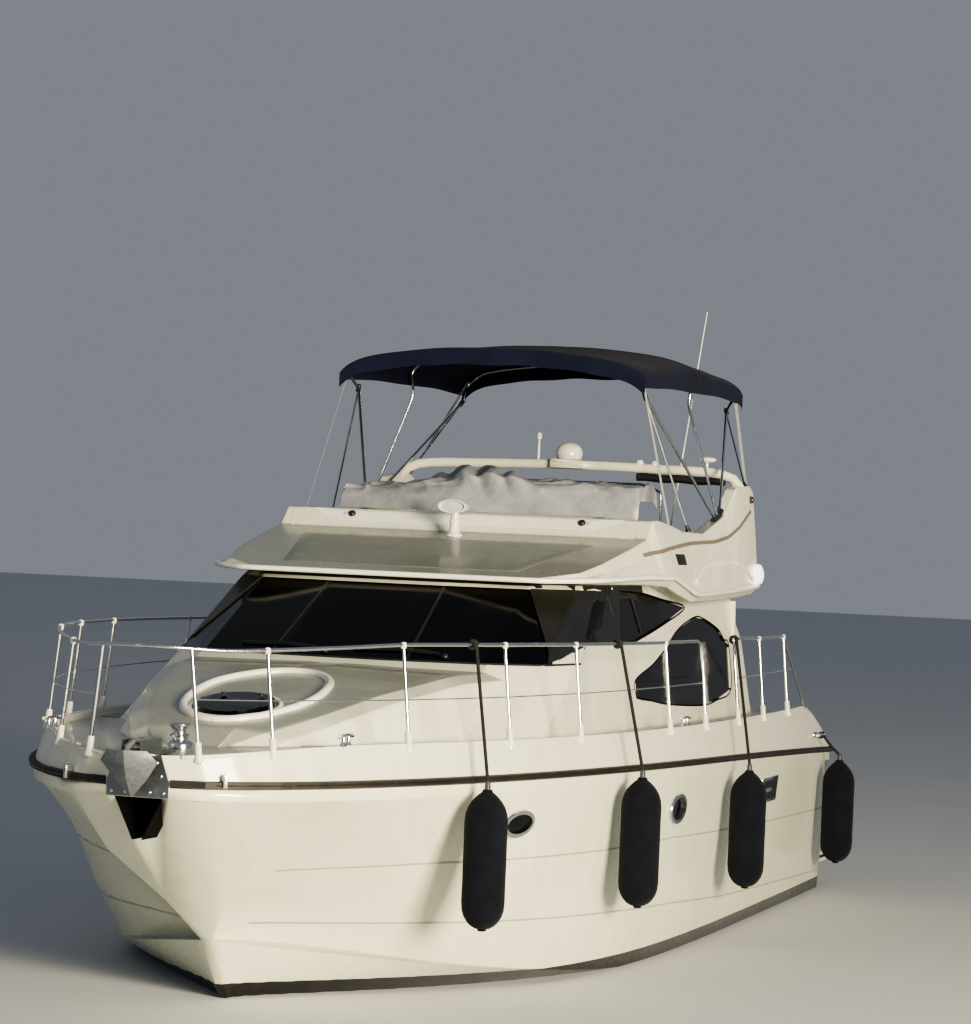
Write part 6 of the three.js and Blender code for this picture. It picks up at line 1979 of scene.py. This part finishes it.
# Running gear: bronze propellers on shafts in brackets and spade rudders, all gone dull brown with green in
# the corners. The blades are cupped and narrow towards their tips.
bronze, *_ = patterned_finish(
    "bronze_cast", "#7C5F38", 0.42, {"Scale": 11.0, "Detail": 7.0, "Roughness": 0.7}, ("#8A6A3D", "#4F6A57"),
    (0.4, 0.72), ("ShaderNodeTexNoise", {"Scale": 160.0, "Detail": 3.0}), (0.2, 0.0006), metallic=0.9,
)
SHAFT_Y = 0.62
SHAFT_ANGLE = math.radians(8.5)
PROPELLER_HUB = Vector((-4.64, 0, -0.7))
BLADE_TIP = 0.222
for side, label in SIDES:
    moulding(f"propeller_shaft_{label}", f"propeller_shaft_{label}_line", bronze, "bronze", degrees=40)
    moulding(f"rudder_{label}", f"rudder_{label}_blade", bronze, "bronze", f"rudder_{label}_body", 30)
    axis = Vector((math.cos(SHAFT_ANGLE), 0, math.sin(SHAFT_ANGLE)))
    centre = PROPELLER_HUB + Vector((0, side * SHAFT_Y, 0))
    hub_rows = [
        (0.012, -0.089), (0.026, -0.08), (0.033, -0.06), (0.042, -0.02), (0.045, 0.02), (0.044, 0.059)
    ]
    hub = turned("hub", hub_rows, centre, axis, 28)
    blades = []
    for blade in range(4):
        turn = Matrix.Rotation(math.pi / 2 * blade, 3, "X")
        tilt = Matrix.Rotation(-SHAFT_ANGLE, 3, "Y")

        def blade_place(share, across, side=side, turn=turn, tilt=tilt, centre=centre):
            radius = mix(0.035, BLADE_TIP, share)
            half = 0.075 * math.sin(math.pi * mix(0.22, 0.93, share)) ** 0.75
            pitch = math.radians(mix(58, 30, share)) * side
            chord = (2 * across - 1) * half
            cup = 0.012 * (1 - (2 * across - 1) ** 2) * share
            point = Vector((chord * math.cos(pitch) * 0.9 + cup, chord * math.sin(pitch), radius))
            return tilt @ (turn @ point) + centre

        sheet_blade = skinned("blade", 14, 10, blade_place, (1, 0, 0))
        apply_modifier(sheet_blade, "SOLIDIFY", thickness=0.007, offset=0.0)
        round_edges(sheet_blade, 0.003, 50)
        blades.append(sheet_blade)
    propeller = joined(f"propeller_{label}_casting", [hub, *blades])
    smooth(propeller, 40)
    dress(propeller, bronze, "bronze", f"propeller_{label}_body", node=f"propeller_{label}")

# Engines: two marine diesels under the hatch, in grey-green enamel, each with a sump, a head cover, a gearbox
# and two heat exchangers.
engine_enamel, *_ = patterned_finish(
    "enamel_engine_grey", "#5E6664", 0.4, {
        "Scale": 5.0, "Detail": 7.0, "Roughness": 0.65
    }, ("#3F4543", "#6A7270"),
    (0.35, 1.0), relief=(0.1, 0.0005),
)
# Rows are each casting's shares of the engine's length, width and height, its place along and up, and its
# edge.
engine_rows = [
    ("sump", (0.8, 0.45, 0.3), (0.5, 0.15), 0.03),
    ("crankcase", (0.9, 0.7, 0.42), (0.5, 0.45), 0.02),
    ("head", (0.78, 0.4, 0.2), (0.5, 0.76), 0.02),
    ("cover", (0.7, 0.3, 0.14), (0.5, 0.928), 0.025),
    ("gearbox", (0.2, 0.4, 0.4), (0.1, 0.35), 0.02),
]
for side, label in SIDES:
    low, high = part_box(f"engine_{label}")
    middle = (low + high) / 2
    size = high - low
    parts = []
    for name, shares, (along, up), edge in engine_rows:
        box_size = [share * length for share, length in zip(shares, size)]
        parts.append(
            block(name, box_size, (low.x + size.x * along, middle.y, low.z + size.z * up), edge=edge)
        )
    pipe_z = low.z + size.z * 0.72
    for out in (1, -1):
        y = middle.y + out * size.y * 0.4
        long = size.x * 0.77
        rows = [(0.04, 0.0), (0.06, 0.02), (0.06, 0.1), (0.055, 0.12)]
        rows += [(radius, long - back) for radius, back in reversed(rows)]
        parts.append(turned("exchanger", rows, (low.x + size.x * 0.15, y, pipe_z), (1, 0, 0), 20))
    engine = joined(f"engine_{label}_block", parts)
    dress(engine, engine_enamel, "engine_paint", node=f"engine_{label}")

# Saloon: varnished joinery on the saloon's sole, its edges rounded over, and the inside steering wheel, both
# seen through the dark panes.
cherry, *_ = patterned_finish(
    "cherry_varnished", "#6B3F22", 0.28, {
        "Scale": 1.0, "Detail": 9.0, "Roughness": 0.6
    }, ("#4A2812", "#7F5030"),
    (0.3, 0.72), relief=(0.08, 0.0003), stretch=(2.0, 24.0, 24.0), gloss={"Coat Weight": 0.5},
)
joinery = welded_copy("saloon_furniture", "saloon_joinery")
round_edges(joinery, 0.012, 40)
smooth(joinery, 40)
dress(joinery, cherry, "varnished_wood", node="saloon_furniture")
moulding("saloon_wheel", "saloon_wheel_rim", moulded_black, "black_plastic", "saloon_wheel_body", 50)
